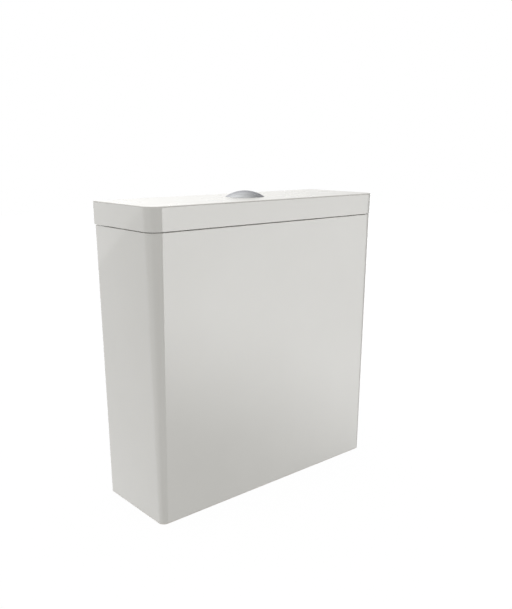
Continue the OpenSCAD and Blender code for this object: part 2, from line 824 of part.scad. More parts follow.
module overflow_tube() {
    seal_top = seat_z + seal_t;
    nose_z = seat_z - seat_h;
    flange_inset = 2;
    shoulder_h = 1.5;
    shoulder_band = 1;
    color("white")
    difference() {
        union() {
            translate([0, 0, nose_z]) cylinder(r = tube_r, h = tube_top - nose_z);
            translate([0, 0, seal_top]) cylinder(r = seal_r - flange_inset, h = tube_flange_t);
            // Shoulder that the stirrup's ring stands on
            translate([0, 0, collar_z - shoulder_h]) cylinder(r = tube_r + shoulder_band, h = shoulder_h);
        }
        translate([0, 0, nose_z - bite])
            cylinder(r = tube_r - tube_wall, h = tube_top - nose_z + 2 * bite);
    }
}

module flush_seal() {
    color("firebrick")
    translate([0, 0, seat_z]) ring(tube_r, seal_r, seal_t);
}

module seal_retainer() {
    seat_room = 3;
    color("white")
    translate([0, 0, seat_z - seat_h]) ring(tube_r, seat_in - seat_room, seat_h);
}

// An open-bottomed cup that slides on the guide column and closes the valve early.
module half_flush_float() {
    cup_in = column_r + guide_gap;
    cup_h = half_float_h - half_float_wall;
    color("lightsteelblue")
    translate([0, 0, half_float_z])
    difference() {
        ring(cup_in, half_float_r, half_float_h);
        translate([0, 0, -bite])
            ring(cup_in + half_float_wall, half_float_r - half_float_wall, cup_h + bite);
    }
}

// Fill valve

// The tail takes the supply hose up to a groove under the nut, and its wide bore holds the strainer.
module fill_riser() {
    groove_w = 1;
    groove_depth = 0.6;
    color("white")
    at_inlet(-1) difference() {
        union() {
            translate([0, 0, inlet_end]) cylinder(r = inlet_r, h = inlet_z - inlet_end + bite);
            translate([0, 0, inlet_z]) cylinder(r = inlet_flange_r, h = inlet_flange_t);
            translate([0, 0, sleeve_z - bite]) cylinder(r = riser_r, h = head_z - sleeve_z + bite);
        }
        translate([0, 0, inlet_end - bite]) cylinder(r = inlet_bore, h = head_z - inlet_end + 2 * bite);
        translate([0, 0, inlet_end - bite]) cylinder(r = strainer_r, h = strainer_end - inlet_end + bite);
        translate([0, 0, recess_h - inlet_nut_h - groove_w])
            ring(inlet_r - groove_depth, inlet_r + bite, groove_w);
    }
}

module fill_washer() {
    color("dimgray")
    at_inlet(-1) translate([0, 0, floor_top]) ring(inlet_r + fit_gap, inlet_flange_r, washer_t);
}

module inlet_nut() {
    translate([0, 0, recess_h - inlet_nut_h]) nut(inlet_r + fit_gap, inlet_nut_r, inlet_nut_h, 6);
}

module fill_backnut() { color("white") at_inlet(-1) inlet_nut(); }

// A slotted cup that keeps grit out of the inlet.
module inlet_strainer() {
    slot_w = 1.6;
    slot_edge = 4;
    lid_t = 2;
    color("royalblue")
    at_inlet(-1) translate([0, 0, strainer_z]) difference() {
        cylinder(r = strainer_r - fit_gap, h = strainer_h);
        translate([0, 0, -bite]) cylinder(r = inlet_bore, h = strainer_h - lid_t + bite);
        for (turn = [0:60:120])
            rotate([0, 0, turn]) translate([-inlet_r, -slot_w / 2, slot_edge])
                cube([2 * inlet_r, slot_w, strainer_h - lid_t - 2 * slot_edge]);
    }
}

// Water runs down between the riser and this sleeve, and out of the ports at its foot.
module fill_sleeve() {
    port_w = 8;
    port_h = 14;
    port_rise = 5;
    stop_h = 4;
    stop_band = 4;
    color("white")
    at_inlet(-1) difference() {
        union() {
            translate([0, 0, sleeve_z]) cylinder(r = sleeve_r, h = head_z - sleeve_z);
            // The float rests on this stop when the tank is empty
            translate([0, 0, float_z - fit_gap - stop_h]) cylinder(r = sleeve_r + stop_band, h = stop_h);
        }
        translate([0, 0, sleeve_z - bite]) cylinder(r = sleeve_in, h = head_z - sleeve_z + 2 * bite);
        for (turn = [0, 90])
            rotate([0, 0, turn]) translate([-port_w / 2, -sleeve_r - bite, sleeve_z + port_rise])
                cube([port_w, 2 * (sleeve_r + bite), port_h]);
    }
}

// A nozzle with a moat around it, which drains into the sleeve.
module fill_head() {
    nozzle_wall = 2;
    rim_w = 5;
    moat_floor = 6;
    drain_r = 1.2;
    color("lightgray")
    at_inlet(-1) translate([0, 0, head_z]) difference() {
        cylinder(r = head_r, h = head_h);
        translate([0, 0, -bite]) cylinder(r = inlet_bore, h = head_h + 2 * bite);
        translate([0, 0, moat_floor]) ring(inlet_bore + nozzle_wall, head_r - rim_w, head_h);
        for (turn = [0:60:300])
            rotate([0, 0, turn]) translate([(riser_r + sleeve_in) / 2, 0, -bite])
                cylinder(r = drain_r, h = moat_floor + 2 * bite);
    }
}

module fill_diaphragm() {
    bleed_r = 0.8;
    color("dimgray")
    at_inlet(-1) translate([0, 0, cap_z]) ring(bleed_r, diaphragm_r, diaphragm_t);
}

module fill_cap() {
    pilot_r = 1;
    ear_r = 4;
    color("white")
    at_inlet(-1) {
        difference() {
            translate([0, 0, cap_z]) cylinder(r = head_r + cap_band, h = cap_h);
            translate([0, 0, cap_z - bite])
                cylinder(r = diaphragm_r + fit_gap, h = diaphragm_t + fit_gap + bite);
            translate([0, 0, cap_z]) cylinder(r = pilot_r, h = cap_h + bite);
        }
        for (side = [-1, 1])
            translate([-lever_x, side * (lever_w / 2 + ear_gap + ear_t / 2), 0])
                ear(ear_r, cap_top - bite, lever_z, lever_pin_r);
    }
}

module lever_pin() {
    color("silver")
    at_inlet(-1) translate([-lever_x, 0, lever_z]) bar_y(lever_pin_r, lever_w + 2 * (ear_gap + ear_t));
}

// The float lifts the forked end, and the other end presses the pad on the pilot hole.
module fill_lever() {
    fork_root = 3;
    fork_tip = 7;
    nose = 4;
    fork_start = lever_arm - fork_in - fork_root;
    fork_end = lever_arm + fork_tip;
    color("royalblue")
    at_inlet(-1) translate([-lever_x, 0, lever_z]) difference() {
        union() {
            bar_y(lever_hub_r, lever_w);
            translate([-fork_start - bite, -lever_w / 2, -lever_t / 2])
                cube([fork_start + bite + lever_x + nose, lever_w, lever_t]);
            translate([-fork_end, -fork_out, -lever_t / 2])
                cube([fork_end - fork_start + bite, 2 * fork_out, lever_t]);
        }
        bar_y(lever_pin_r + pin_gap, lever_w + 2 * bite);
        translate([-fork_end - bite, -fork_in, -lever_t])
            cube([fork_end - fork_start, 2 * fork_in, 2 * lever_t]);
    }
}

module lever_pad() {
    pad_r = 2.5;
    pad_t = 1;
    color("dimgray")
    at_inlet(-1) translate([0, 0, lever_z - lever_t / 2 - pad_t]) cylinder(r = pad_r, h = pad_t);
}

// An open-bottomed cup around the sleeve, with a socket for its rod.
module fill_float() {
    left = -float_rod_x - float_far;
    right = sleeve_r + float_near;
    wide = right - left;
    round_r = 8;
    bore = sleeve_r + guide_gap;
    socket_wall = 2.5;
    socket_floor = 2;
    color("lightsteelblue")
    at_inlet(-1) difference() {
        union() {
            translate([(left + right) / 2, 0, float_z]) difference() {
                linear_extrude(float_h) plan(wide, float_d, round_r, round_r);
                translate([0, 0, -bite]) linear_extrude(float_h - float_wall + bite)
                    plan(wide - 2 * float_wall, float_d - 2 * float_wall,
                        round_r - float_wall, round_r - float_wall);
            }
            translate([0, 0, float_z]) cylinder(r = bore + float_wall, h = float_h);
            translate([-float_rod_x, 0, float_top - socket_h - socket_floor])
                cylinder(r = float_rod_r + socket_wall, h = socket_h + socket_floor);
        }
        translate([0, 0, float_z - bite]) cylinder(r = bore, h = float_h + 2 * bite);
        translate([-float_rod_x, 0, float_top - socket_h]) cylinder(r = float_rod_r, h = socket_h + bite);
    }
}

module float_rod() {
    color("white")
    at_inlet(-1) translate([-float_rod_x, 0, float_top - socket_h])
        cylinder(r = float_rod_r, h = lever_z + float_rod_over - float_top + socket_h);
}

// A cross nut on the rod, whose round back lifts the lever's fork.
module float_barrel() {
    color("royalblue")
    at_inlet(-1) translate([-float_rod_x, 0, lever_z - lever_t / 2 - lift_gap - barrel_r])
        difference() {
            bar_y(barrel_r, 2 * fork_out);
            translate([0, 0, -barrel_r - bite]) cylinder(r = float_rod_r, h = 2 * (barrel_r + bite));
        }
}

// The inlet hole that isn't used is closed by a plug.

module blanking_plug() {
    plug_over = 4;
    plug_end = recess_h - inlet_nut_h - plug_over;
    color("white")
    at_inlet(1) {
        translate([0, 0, inlet_z]) cylinder(r = inlet_flange_r, h = inlet_flange_t);
        translate([0, 0, plug_end]) cylinder(r = inlet_r, h = inlet_z - plug_end + bite);
    }
}

module plug_washer() {
    color("dimgray")
    at_inlet(1) translate([0, 0, floor_top]) ring(inlet_r + fit_gap, inlet_flange_r, washer_t);
}

module plug_nut() { color("white") at_inlet(1) inlet_nut(); }

tank();
lid();
lid_pads();
button_ring();
button_housing();
housing_nut();
housing_washer();
full_button();
full_clip();
full_rod();
full_rod_nut();
full_spring();
half_button();
half_clip();
half_rod();
half_rod_nut();
half_spring();
valve_base();
base_gasket();
valve_backnut();
coupling_gasket();
valve_cage();
bridge();
rocker_pins();
full_rocker();
half_rocker();
lift_yoke();
overflow_tube();
tube_stirrup();
flush_seal();
seal_retainer();
half_flush_float();
fill_riser();
fill_washer();
fill_backnut();
inlet_strainer();
fill_sleeve();
fill_head();
fill_diaphragm();
fill_cap();
lever_pin();
fill_lever();
lever_pad();
fill_float();
float_rod();
float_barrel();
blanking_plug();
plug_washer();
plug_nut();
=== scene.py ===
# A close-coupled toilet cistern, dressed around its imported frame. Lengths are written in
# millimetres and turned to metres in the meshes. +Z is up and -Y is the front.
import json
import math

import bmesh
import bpy
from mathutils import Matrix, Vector


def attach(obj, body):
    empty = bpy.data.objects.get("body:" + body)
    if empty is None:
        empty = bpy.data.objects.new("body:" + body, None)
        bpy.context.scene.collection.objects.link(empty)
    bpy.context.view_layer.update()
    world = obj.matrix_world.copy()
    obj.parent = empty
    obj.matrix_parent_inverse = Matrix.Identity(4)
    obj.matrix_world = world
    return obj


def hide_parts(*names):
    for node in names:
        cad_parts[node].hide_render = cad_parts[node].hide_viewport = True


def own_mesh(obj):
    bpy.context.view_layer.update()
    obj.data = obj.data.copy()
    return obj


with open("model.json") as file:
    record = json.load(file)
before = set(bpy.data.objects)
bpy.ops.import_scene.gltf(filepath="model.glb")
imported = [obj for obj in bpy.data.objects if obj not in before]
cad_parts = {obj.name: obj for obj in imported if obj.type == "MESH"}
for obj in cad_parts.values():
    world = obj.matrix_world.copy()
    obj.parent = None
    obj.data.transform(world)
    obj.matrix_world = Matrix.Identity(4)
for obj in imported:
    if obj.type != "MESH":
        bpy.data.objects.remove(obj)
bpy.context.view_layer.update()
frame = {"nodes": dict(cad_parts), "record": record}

# Tank. Slip-cast vitreous china: a flat-sided box whose two rounded front corners tighten towards
# the foot, fired with a white glaze all over except that foot. The floor is drilled for the two
# valves and the pan bolts, and the back wall for two wall screws.
MM = 0.001
TANK_W, TANK_D, TANK_H, TANK_WALL = 370.0, 122.0, 357.0, 9.0
FLOOR_LOW, FLOOR_TOP, FACE_INSET = 34.0, 44.0, 12.0
FRONT_R, FRONT_FOOT_R, BACK_R, INNER_R, LEAST_R = 15.0, 8.5, 2.0, 6.0, 0.4
FRONT_STEPS, BACK_STEPS = 24, 10
RIM_EASE, RIM_BAND, LIP_EASE, FOOT_EASE = 0.5, 2.0, 2.0, 1.0
COVE, RECESS_COVE = 5.0, 4.0
TAIL_HOLE_R, INLET_HOLE_R, PAN_BOLT_R, WALL_SCREW_R = 31.3, 11.7, 6.0, 4.0
INLET_X, PAN_BOLT_X, WALL_SCREW_X, WALL_SCREW_Z = 128.0, 75.0, 120.0, 322.0
HOLE_REACH, HOLE_TURN, SCREW_DEPTH, ROUND = 5.0, 0.37, 12.0, 96
SMOOTH_ANGLE = math.radians(38)

bodies = frame["record"]["behaviour"]["bodies"]
body_of = {node: body for body, members in bodies.items() for node in members}


def fit(piece, *stands_for):
    """Fixes a finished piece on its first node's body, in place of the nodes named."""
    first = stands_for[0]
    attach(piece, body_of[first])
    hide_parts(*stands_for)
    return piece


def eased(outline, steps=4, closed=True):
    """Rounds the corners of an outline. A corner is (a, b) or, with its radius, (a, b, r)."""
    count, made = len(outline), []
    for i, corner in enumerate(outline):
        here = Vector(corner[:2])
        radius = corner[2] if len(corner) > 2 else 0.0
        ends = not closed and i in (0, count - 1)
        if radius <= 0 or ends:
            made.append(tuple(here))
            continue
        back = (Vector(outline[i - 1][:2]) - here).normalized()
        ahead = (Vector(outline[(i + 1) % count][:2]) - here).normalized()
        half = back.angle(ahead) / 2
        centre = here + (back + ahead).normalized() * (radius / math.sin(half))
        start = here + back * (radius / math.tan(half)) - centre
        stop = here + ahead * (radius / math.tan(half)) - centre
        sweep = start.angle_signed(stop)
        for k in range(steps + 1):
            turn = -sweep * k / steps
            c, s = math.cos(turn), math.sin(turn)
            made.append((centre.x + c * start.x - s * start.y, centre.y + s * start.x + c * start.y))
    return made


def solid(name, points, faces, material):
    """A closed mesh from points in millimetres, its faces turned outwards."""
    mesh = bpy.data.meshes.new(name)
    mesh.from_pydata([tuple(MM * v for v in p) for p in points], [], faces)
    piece = bpy.data.objects.new(name, mesh)
    bpy.context.scene.collection.objects.link(piece)
    mesh.materials.append(material)
    bm = bmesh.new()
    bm.from_mesh(mesh)
    bmesh.ops.remove_doubles(bm, verts=bm.verts, dist=1e-7)
    bmesh.ops.delete(bm, geom=[edge for edge in bm.edges if not edge.link_faces], context="EDGES")
    bmesh.ops.recalc_face_normals(bm, faces=bm.faces)
    bm.to_mesh(mesh)
    bm.free()
    return piece


def settled(piece):
    """Turns what the modifiers make into the piece's own plain mesh."""
    depsgraph = bpy.context.evaluated_depsgraph_get()
    mesh = bpy.data.meshes.new_from_object(piece.evaluated_get(depsgraph))
    old = piece.data
    piece.modifiers.clear()
    piece.data = mesh
    bpy.data.meshes.remove(old)
    mesh.name = piece.name
    return piece


def cleaned(piece, dist=2e-6):
    """Welds points that lie on each other, joins flat faces and clears faces without area."""
    bm = bmesh.new()
    bm.from_mesh(piece.data)
    bmesh.ops.remove_doubles(bm, verts=bm.verts, dist=1e-7)
    bmesh.ops.dissolve_limit(bm, angle_limit=math.radians(0.1), verts=bm.verts, edges=bm.edges)
    bmesh.ops.remove_doubles(bm, verts=bm.verts, dist=dist)
    bmesh.ops.dissolve_degenerate(bm, dist=dist, edges=bm.edges)
    bm.to_mesh(piece.data)
    bm.free()
    return piece


def polished(piece, bevel=0.0, limit=50.0):
    """Breaks the sharp edges left, and keeps flat faces flat under smooth shading."""
    if bevel:
        edge = piece.modifiers.new("broken edges", "BEVEL")
        edge.width = bevel * MM
        edge.segments = 2
        edge.limit_method = "ANGLE"
        edge.angle_limit = math.radians(limit)
        edge.miter_outer = "MITER_ARC"
        cleaned(settled(piece))
    bm = bmesh.new()
    bm.from_mesh(piece.data)
    for face in bm.faces:
        face.smooth = True
    for edge in bm.edges:
        edge.smooth = edge.calc_face_angle(math.pi) < SMOOTH_ANGLE
    bm.to_mesh(piece.data)
    bm.free()
    weighted = piece.modifiers.new("flat faces", "WEIGHTED_NORMAL")
    weighted.keep_sharp = True
    weighted.weight = 100
    return settled(piece)


def cut(piece, cutters, operation="DIFFERENCE"):
    """Cuts the cutters out of a piece, or joins them to it, and clears them away."""
    for cutter in cutters:
        step = piece.modifiers.new("cut", "BOOLEAN")
        step.operation = operation
        step.solver = "EXACT"
        step.object = cutter
    settled(piece)
    for cutter in cutters:
        mesh = cutter.data
        bpy.data.objects.remove(cutter)
        bpy.data.meshes.remove(mesh)
    return cleaned(piece, 1e-5)


def loft(name, rings, material):
    """A closed shell through rings of equally many points, its two ends filled."""
    count = len(rings[0])
    faces = [tuple(range(count)), tuple(range((len(rings) - 1) * count, len(rings) * count))]
    for k in range(len(rings) - 1):
        low, high = k * count, (k + 1) * count
        for i in range(count):
            j = (i + 1) % count
            faces.append((low + i, low + j, high + j, high + i))
    return solid(name, [p for ring in rings for p in ring], faces, material)


def plan_ring(w, d, front_r, back_r, inset, z, shift=0.0):
    """One level of a box with rounded upright corners, drawn in by inset."""
    points = []
    corners = ((-1, -1, front_r, FRONT_STEPS, 180), (1, -1, front_r, FRONT_STEPS, 270),
               (1, 1, back_r, BACK_STEPS, 0), (-1, 1, back_r, BACK_STEPS, 90))
    for side, end, radius, steps, start in corners:
        r = max(radius - inset, LEAST_R)
        x, y = side * (w / 2 - inset - r), end * (d / 2 - inset - r) + shift
        for k in range(steps + 1):
            turn = math.radians(start + 90 * k / steps)
            points.append((x + r * math.cos(turn), y + r * math.sin(turn), z))
    return points


def box_shell(name, sections, material):
    """A box of sections: each is a plan (w, d, front_r, back_r, shift) with its (inset, z) line."""
    rings = []
    for (w, d, front_r, back_r, shift), line in sections:
        made = eased(line, steps=5, closed=False)
        for inset, z in made[1:] if rings else made:
            rings.append(plan_ring(w, d, front_r, back_r, inset, z, shift))
    return loft(name, rings, material)


def drill(x, y, low, high, r, sides=64, along_y=False):
    """A round cutter: upright from low to high at (x, y), or along Y at height y."""
    points, faces = [], []
    for level in (low, high):
        for k in range(sides):
            turn = 2 * math.pi * (k + HOLE_TURN) / sides
            a, b = r * math.cos(turn), r * math.sin(turn)
            points.append((x + a, level, y + b) if along_y else (x + a, y + b, level))
    return loft("drill", [points[:sides], points[sides:]], None)


def finish(name, **sockets):
    """A new material with its constant sockets set, and what its pattern nodes start from."""
    material = bpy.data.materials.new(name)
    material.use_nodes = True
    tree = material.node_tree
    shader = tree.nodes["Principled BSDF"]
    for label, value in sockets.items():
        shader.inputs[label.replace("_", " ")].default_value = value
    place = tree.nodes.new("ShaderNodeTexCoord").outputs["Object"]
    return material, tree, shader.inputs, place


def wire(tree, kind, inputs, **settings):
    """Adds a node, sets or links its inputs by name or number, and returns its outputs."""
    made = tree.nodes.new(kind)
    for label, value in settings.items():
        setattr(made, label, value)
    for label, value in inputs.items():
        if isinstance(value, bpy.types.NodeSocket):
            tree.links.new(value, made.inputs[label])
        else:
            made.inputs[label].default_value = value
    return made.outputs


def ramp(tree, value, start, stop, low=0.0, high=1.0):
    """A number that runs from low to high while value runs from start to stop."""
    return wire(tree, "ShaderNodeMapRange", {"Value": value, "From Min": start, "From Max": stop,
                                             "To Min": low, "To Max": high})["Result"]


def mottle(tree, place, scale, low, high, detail=3.0):
    """Cloudy noise between two numbers."""
    cloud = wire(tree, "ShaderNodeTexNoise", {"Vector": place, "Scale": scale, "Detail": detail})
    return ramp(tree, cloud["Fac"], 0.3, 0.7, low, high)


def tinted(tree, factor, first, second):
    """A colour between two, each given as three numbers or taken from a node."""
    ends = [c if isinstance(c, bpy.types.NodeSocket) else (*c, 1.0) for c in (first, second)]
    return wire(tree, "ShaderNodeMix", {0: factor, 6: ends[0], 7: ends[1]}, data_type="RGBA")[2]


def between(tree, factor, first, second):
    """A number between two, by a factor."""
    return wire(tree, "ShaderNodeMix", {0: factor, 2: first, 3: second})[0]


def bumped(tree, shader, height, depth, strength):
    """Raises a pattern on the shader by depth millimetres."""
    bump = wire(tree, "ShaderNodeBump", {"Height": height, "Distance": depth * MM, "Strength": strength})
    tree.links.new(bump["Normal"], shader["Normal"])


def china_glaze(name, top, ease):
    """White glaze: wiped dull on the level top, with painted shade along its eased edge, and missing on the dry
    foot.
    """
    material, tree, shader, place = finish(name, IOR=1.52)
    white = tinted(tree, mottle(tree, place, 7.0, 0.0, 1.0), (0.760, 0.748, 0.704), (0.790, 0.778, 0.735))
    speck = wire(tree, "ShaderNodeTexVoronoi", {"Vector": place, "Scale": 160.0})["Distance"]
    pinhole = ramp(tree, speck, 0.03, 0.07, 0.25, 0.0)
    white = tinted(tree, pinhole, white, (0.66, 0.64, 0.60))
    height = wire(tree, "ShaderNodeSeparateXYZ", {"Vector": place})["Z"]
    over_edge = ramp(tree, height, (top - ease) * MM, top * MM)
    # Painted shade: a grey band across the eased edge between the level top and the upright faces stands in for
    # the shade along that edge.
    off_upright = ramp(tree, over_edge, 0.1, 0.35)
    off_level = ramp(tree, over_edge, 0.98, 0.9, 0.0, 0.5)
    painted_edge_shade = wire(tree, "ShaderNodeMath", {0: off_upright, 1: off_level}, operation="MULTIPLY")[0]
    white = tinted(tree, painted_edge_shade, white, (0.56, 0.54, 0.50))
    ragged = wire(tree, "ShaderNodeMath", {0: height, 1: mottle(tree, place, 220.0, -0.0004, 0.0004)},
                  operation="ADD")[0]
    dry = ramp(tree, ragged, 0.0009, 0.0015, 1.0, 0.0)
    tree.links.new(tinted(tree, dry, white, (0.74, 0.69, 0.62)), shader["Base Color"])
    dulled = ramp(tree, over_edge, 0.985, 0.999)
    wiped = between(tree, dulled, mottle(tree, place, 30.0, 0.035, 0.05),
                    mottle(tree, place, 18.0, 0.26, 0.3))
    tree.links.new(between(tree, dry, wiped, 0.75), shader["Roughness"])
    peel = wire(tree, "ShaderNodeTexNoise", {"Vector": place, "Scale": 90.0, "Detail": 1.0})["Fac"]
    bumped(tree, shader, peel, 0.012, 0.03)
    return material


tank_glaze = china_glaze("tank_china_glaze", TANK_H, RIM_EASE)
inside_w, inside_d = TANK_W - 2 * TANK_WALL, TANK_D - 2 * TANK_WALL
rim_plan = (TANK_W, TANK_D, FRONT_R, BACK_R, 0.0)
foot_plan = (TANK_W, TANK_D, FRONT_FOOT_R, BACK_R, 0.0)
inside_plan = (inside_w, inside_d, INNER_R, INNER_R, 0.0)
half_wall = TANK_WALL / 2
tank_piece = box_shell("tank_ware", [
    (inside_plan, [(FACE_INSET, FLOOR_TOP), (0.0, FLOOR_TOP, COVE), (0.0, TANK_H, LIP_EASE),
                   (-half_wall, TANK_H)]),
    (rim_plan, [(half_wall, TANK_H), (0.0, TANK_H, RIM_EASE), (0.0, TANK_H - RIM_BAND)]),
    (foot_plan, [(0.0, TANK_H - RIM_BAND), (0.0, 0.0, FOOT_EASE), (half_wall, 0.0)]),
    (inside_plan, [(-half_wall, 0.0), (0.0, 0.0, FOOT_EASE), (0.0, FLOOR_LOW, RECESS_COVE),
                   (FACE_INSET, FLOOR_LOW)]),
], tank_glaze)
hole_low, hole_high, back = FLOOR_LOW - HOLE_REACH, FLOOR_TOP + HOLE_REACH, TANK_D / 2
holes = [drill(0.0, 0.0, hole_low, hole_high, TAIL_HOLE_R, ROUND)]
for side in (-1, 1):
    holes.append(drill(side * INLET_X, 0.0, hole_low, hole_high, INLET_HOLE_R))
    holes.append(drill(side * PAN_BOLT_X, 0.0, hole_low, hole_high, PAN_BOLT_R))
    holes.append(drill(side * WALL_SCREW_X, WALL_SCREW_Z, back - SCREW_DEPTH, back + HOLE_REACH,
                       WALL_SCREW_R, along_y=True))
fit(polished(cut(tank_piece, holes), bevel=0.5, limit=60.0), "tank")

# Flush valve seat. A moulded base with a raised seat ring, three hooks for the cage and a large
# tail through the tank's floor, clamped by an eight-sided nut. Rubber rings seal it above and
# below the floor, and a thick soft ring seals the tank to the pan.


def turned(name, outline, material, at=(0.0, 0.0), sides=ROUND, sweep=360.0, start=0.0, steps=4):
    """Turns a closed (radius, height) outline about an upright axis, or through part of a turn."""
    line = eased(outline, steps)
    whole = sweep >= 360.0
    turns = [math.radians(start + sweep * k / sides) for k in range(sides if whole else sides + 1)]
    points = [(at[0] + r * math.cos(t), at[1] + r * math.sin(t), z) for t in turns for r, z in line]
    count, faces = len(line), []
    for k in range(sides):
        here, there = k * count, ((k + 1) % len(turns)) * count
        for i in range(count):
            j = (i + 1) % count
            faces.append((here + i, here + j, there + j, there + i))
    if not whole:
        faces += [tuple(range(count)), tuple(range(sides * count, (sides + 1) * count))]
    return solid(name, points, faces, material)


def ring_line(inner, outer, low, high, ease):
    """Outline of a plain ring with its four edges eased."""
    return [(inner, low, ease), (outer, low, ease), (outer, high, ease), (inner, high, ease)]


def softened(node, ease, material, name):
    """A moulded copy of a node, its meshes welded, its flats joined and its edges eased."""
    mesh = frame["nodes"][node].data.copy()
    piece = bpy.data.objects.new(name, mesh)
    bpy.context.scene.collection.objects.link(piece)
    mesh.materials.clear()
    mesh.materials.append(material)
    bm = bmesh.new()
    bm.from_mesh(mesh)
    bmesh.ops.remove_doubles(bm, verts=bm.verts, dist=2e-6)
    bmesh.ops.dissolve_limit(bm, angle_limit=math.radians(1), verts=bm.verts, edges=bm.edges)
    for face in bm.faces:
        face.material_index = 0
    bm.to_mesh(mesh)
    bm.free()
    return polished(piece, ease, 35.0)


def moulded(name, colour, gloss=0.38, shift=0.05):
    """Injection-moulded plastic: faint flow clouds, a fine spark texture and an uneven sheen."""
    material, tree, shader, place = finish(name, IOR=1.49)
    flow = wire(tree, "ShaderNodeMapping", {"Vector": place, "Scale": (1.0, 1.0, 0.35)})["Vector"]
    pale = tuple(min(c * (1 + shift), 1.0) for c in colour)
    deep = tuple(c * (1 - shift) for c in colour)
    tree.links.new(tinted(tree, mottle(tree, flow, 45.0, 0.0, 1.0), deep, pale), shader["Base Color"])
    tree.links.new(mottle(tree, place, 90.0, gloss - 0.06, gloss + 0.08), shader["Roughness"])
    spark = wire(tree, "ShaderNodeTexNoise", {"Vector": place, "Scale": 1500.0, "Detail": 2.0})["Fac"]
    bumped(tree, shader, spark, 0.03, 0.25)
    return material


def rubbery(name, colour, gloss=0.62):
    """Pressed rubber: a matt, faintly mottled surface with a dusty grain."""
    material, tree, shader, place = finish(name, IOR=1.5)
    bloom = tuple(min(c * 1.35 + 0.012, 1.0) for c in colour)
    tree.links.new(tinted(tree, mottle(tree, place, 120.0, 0.0, 1.0), colour, bloom), shader["Base Color"])
    tree.links.new(mottle(tree, place, 60.0, gloss - 0.08, gloss + 0.1), shader["Roughness"])
    grain = wire(tree, "ShaderNodeTexNoise", {"Vector": place, "Scale": 900.0, "Detail": 4.0})["Fac"]
    bumped(tree, shader, grain, 0.05, 0.4)
    return material


white_plastic = moulded("white_moulding", (0.72, 0.72, 0.69))
black_rubber = rubbery("black_seal_rubber", (0.022, 0.022, 0.023))
BASE_LOW, BASE_TOP, SEAT_TOP, TAIL_END = 46.5, 52.0, 56.0, 8.0
TAIL_R, OUTLET_R, BASE_R, SEAT_R, SEAT_OUT = 30.0, 25.0, 42.0, 24.0, 28.0
HOOK_IN, HOOK_OUT, HOOK_TIP, HOOK_LOW, HOOK_TOP = 38.3, 41.5, 36.3, 57.3, 59.3
GASKET_IN, COUPLING_LOW, COUPLING_TOP = 30.2, 2.0, 22.0
base_piece = turned("valve_base_moulding", [
    (OUTLET_R, TAIL_END, 0.8), (TAIL_R, TAIL_END, 1.2), (TAIL_R, BASE_LOW, 0.6), (BASE_R, BASE_LOW, 0.6),
    (BASE_R, BASE_TOP, 0.9), (SEAT_OUT, BASE_TOP, 0.8), (SEAT_OUT, SEAT_TOP, 1.2), (SEAT_R, SEAT_TOP, 1.2),
    (SEAT_R, BASE_LOW, 0.4), (OUTLET_R, BASE_LOW, 0.4)], white_plastic)
hooks = [turned("hook", [(HOOK_IN, BASE_TOP - 1.0), (HOOK_OUT, BASE_TOP - 1.0), (HOOK_OUT, HOOK_TOP, 0.6),
                         (HOOK_TIP, HOOK_TOP, 0.5), (HOOK_TIP, HOOK_LOW, 0.4), (HOOK_IN, HOOK_LOW)],
                white_plastic, sides=10, sweep=24.0, start=turn) for turn in (0.0, 120.0, 240.0)]
fit(polished(cut(base_piece, hooks, "UNION")), "valve_base")
fit(polished(turned("base_gasket_ring", ring_line(GASKET_IN, BASE_R, FLOOR_TOP, BASE_LOW, 0.7),
                    black_rubber)), "base_gasket")
fit(softened("valve_backnut", 0.9, white_plastic, "valve_backnut_moulding"), "valve_backnut")
fit(polished(turned("coupling_gasket_ring", [
    (GASKET_IN, COUPLING_LOW, 2.0), (43.0, COUPLING_LOW, 3.0), (45.0, 12.0, 5.0), (44.0, COUPLING_TOP, 1.5),
    (GASKET_IN, COUPLING_TOP, 1.0)], black_rubber)), "coupling_gasket")

# Flush valve cage. One pale moulding: a basket with four windows around the seat, a flat roof,
# and a long column that guides the overflow tube. A float cup slides on the column.
pale_plastic = moulded("pale_moulding", (0.55, 0.63, 0.70))
CAGE_R, CAGE_IN, CAGE_FOOT_R, CAGE_FOOT_TOP = 36.0, 33.5, 38.0, 57.0
ROOF_LOW, ROOF_TOP, COLUMN_R, COLUMN_IN = 125.0, 129.0, 18.0, 14.4
STOP_R, STOP_LOW, STOP_TOP = 21.0, 137.0, 140.0
DECK_R, DECK_LOW, DECK_TOP, DECK_HOLE_Y, DECK_HOLE_R = 31.0, 260.5, 264.5, 26.0, 2.2
WINDOW_HALF, WINDOW_LOW, WINDOW_TOP, WINDOW_REACH = 17.0, 61.0, 121.0, 45.0
CUP_IN, CUP_OUT, CUP_T, CUP_LOW, CUP_TOP = 18.4, 29.0, 1.8, 140.2, 182.2
cage_piece = turned("valve_cage_moulding", [
    (CAGE_IN, BASE_TOP, 0.3), (CAGE_FOOT_R, BASE_TOP, 0.5), (CAGE_FOOT_R, CAGE_FOOT_TOP, 0.8),
    (CAGE_R, CAGE_FOOT_TOP, 0.6), (CAGE_R, ROOF_TOP, 1.8), (COLUMN_R, ROOF_TOP, 2.0),
    (COLUMN_R, STOP_LOW, 0.8), (STOP_R, STOP_LOW, 0.6), (STOP_R, STOP_TOP, 0.6), (COLUMN_R, STOP_TOP, 0.6),
    (COLUMN_R, DECK_LOW, 1.5), (DECK_R, DECK_LOW, 0.8), (DECK_R, DECK_TOP, 0.8), (COLUMN_IN, DECK_TOP, 0.8),
    (COLUMN_IN, ROOF_LOW, 0.6), (CAGE_IN, ROOF_LOW, 1.0)], pale_plastic)


def block(low, high):
    """A square cutter between two corners."""
    (a, b, c), (x, y, z) = low, high
    ends = [[(a, b, level), (x, b, level), (x, y, level), (a, y, level)] for level in (c, z)]
    return loft("block", ends, None)


def cross_slots(x, half, reach, low, high):
    """Two crossing cutters that open four windows around an upright axis at x."""
    return [block((x - half, -reach, low), (x + half, reach, high)),
            block((x - reach, -half, low), (x + reach, half, high))]


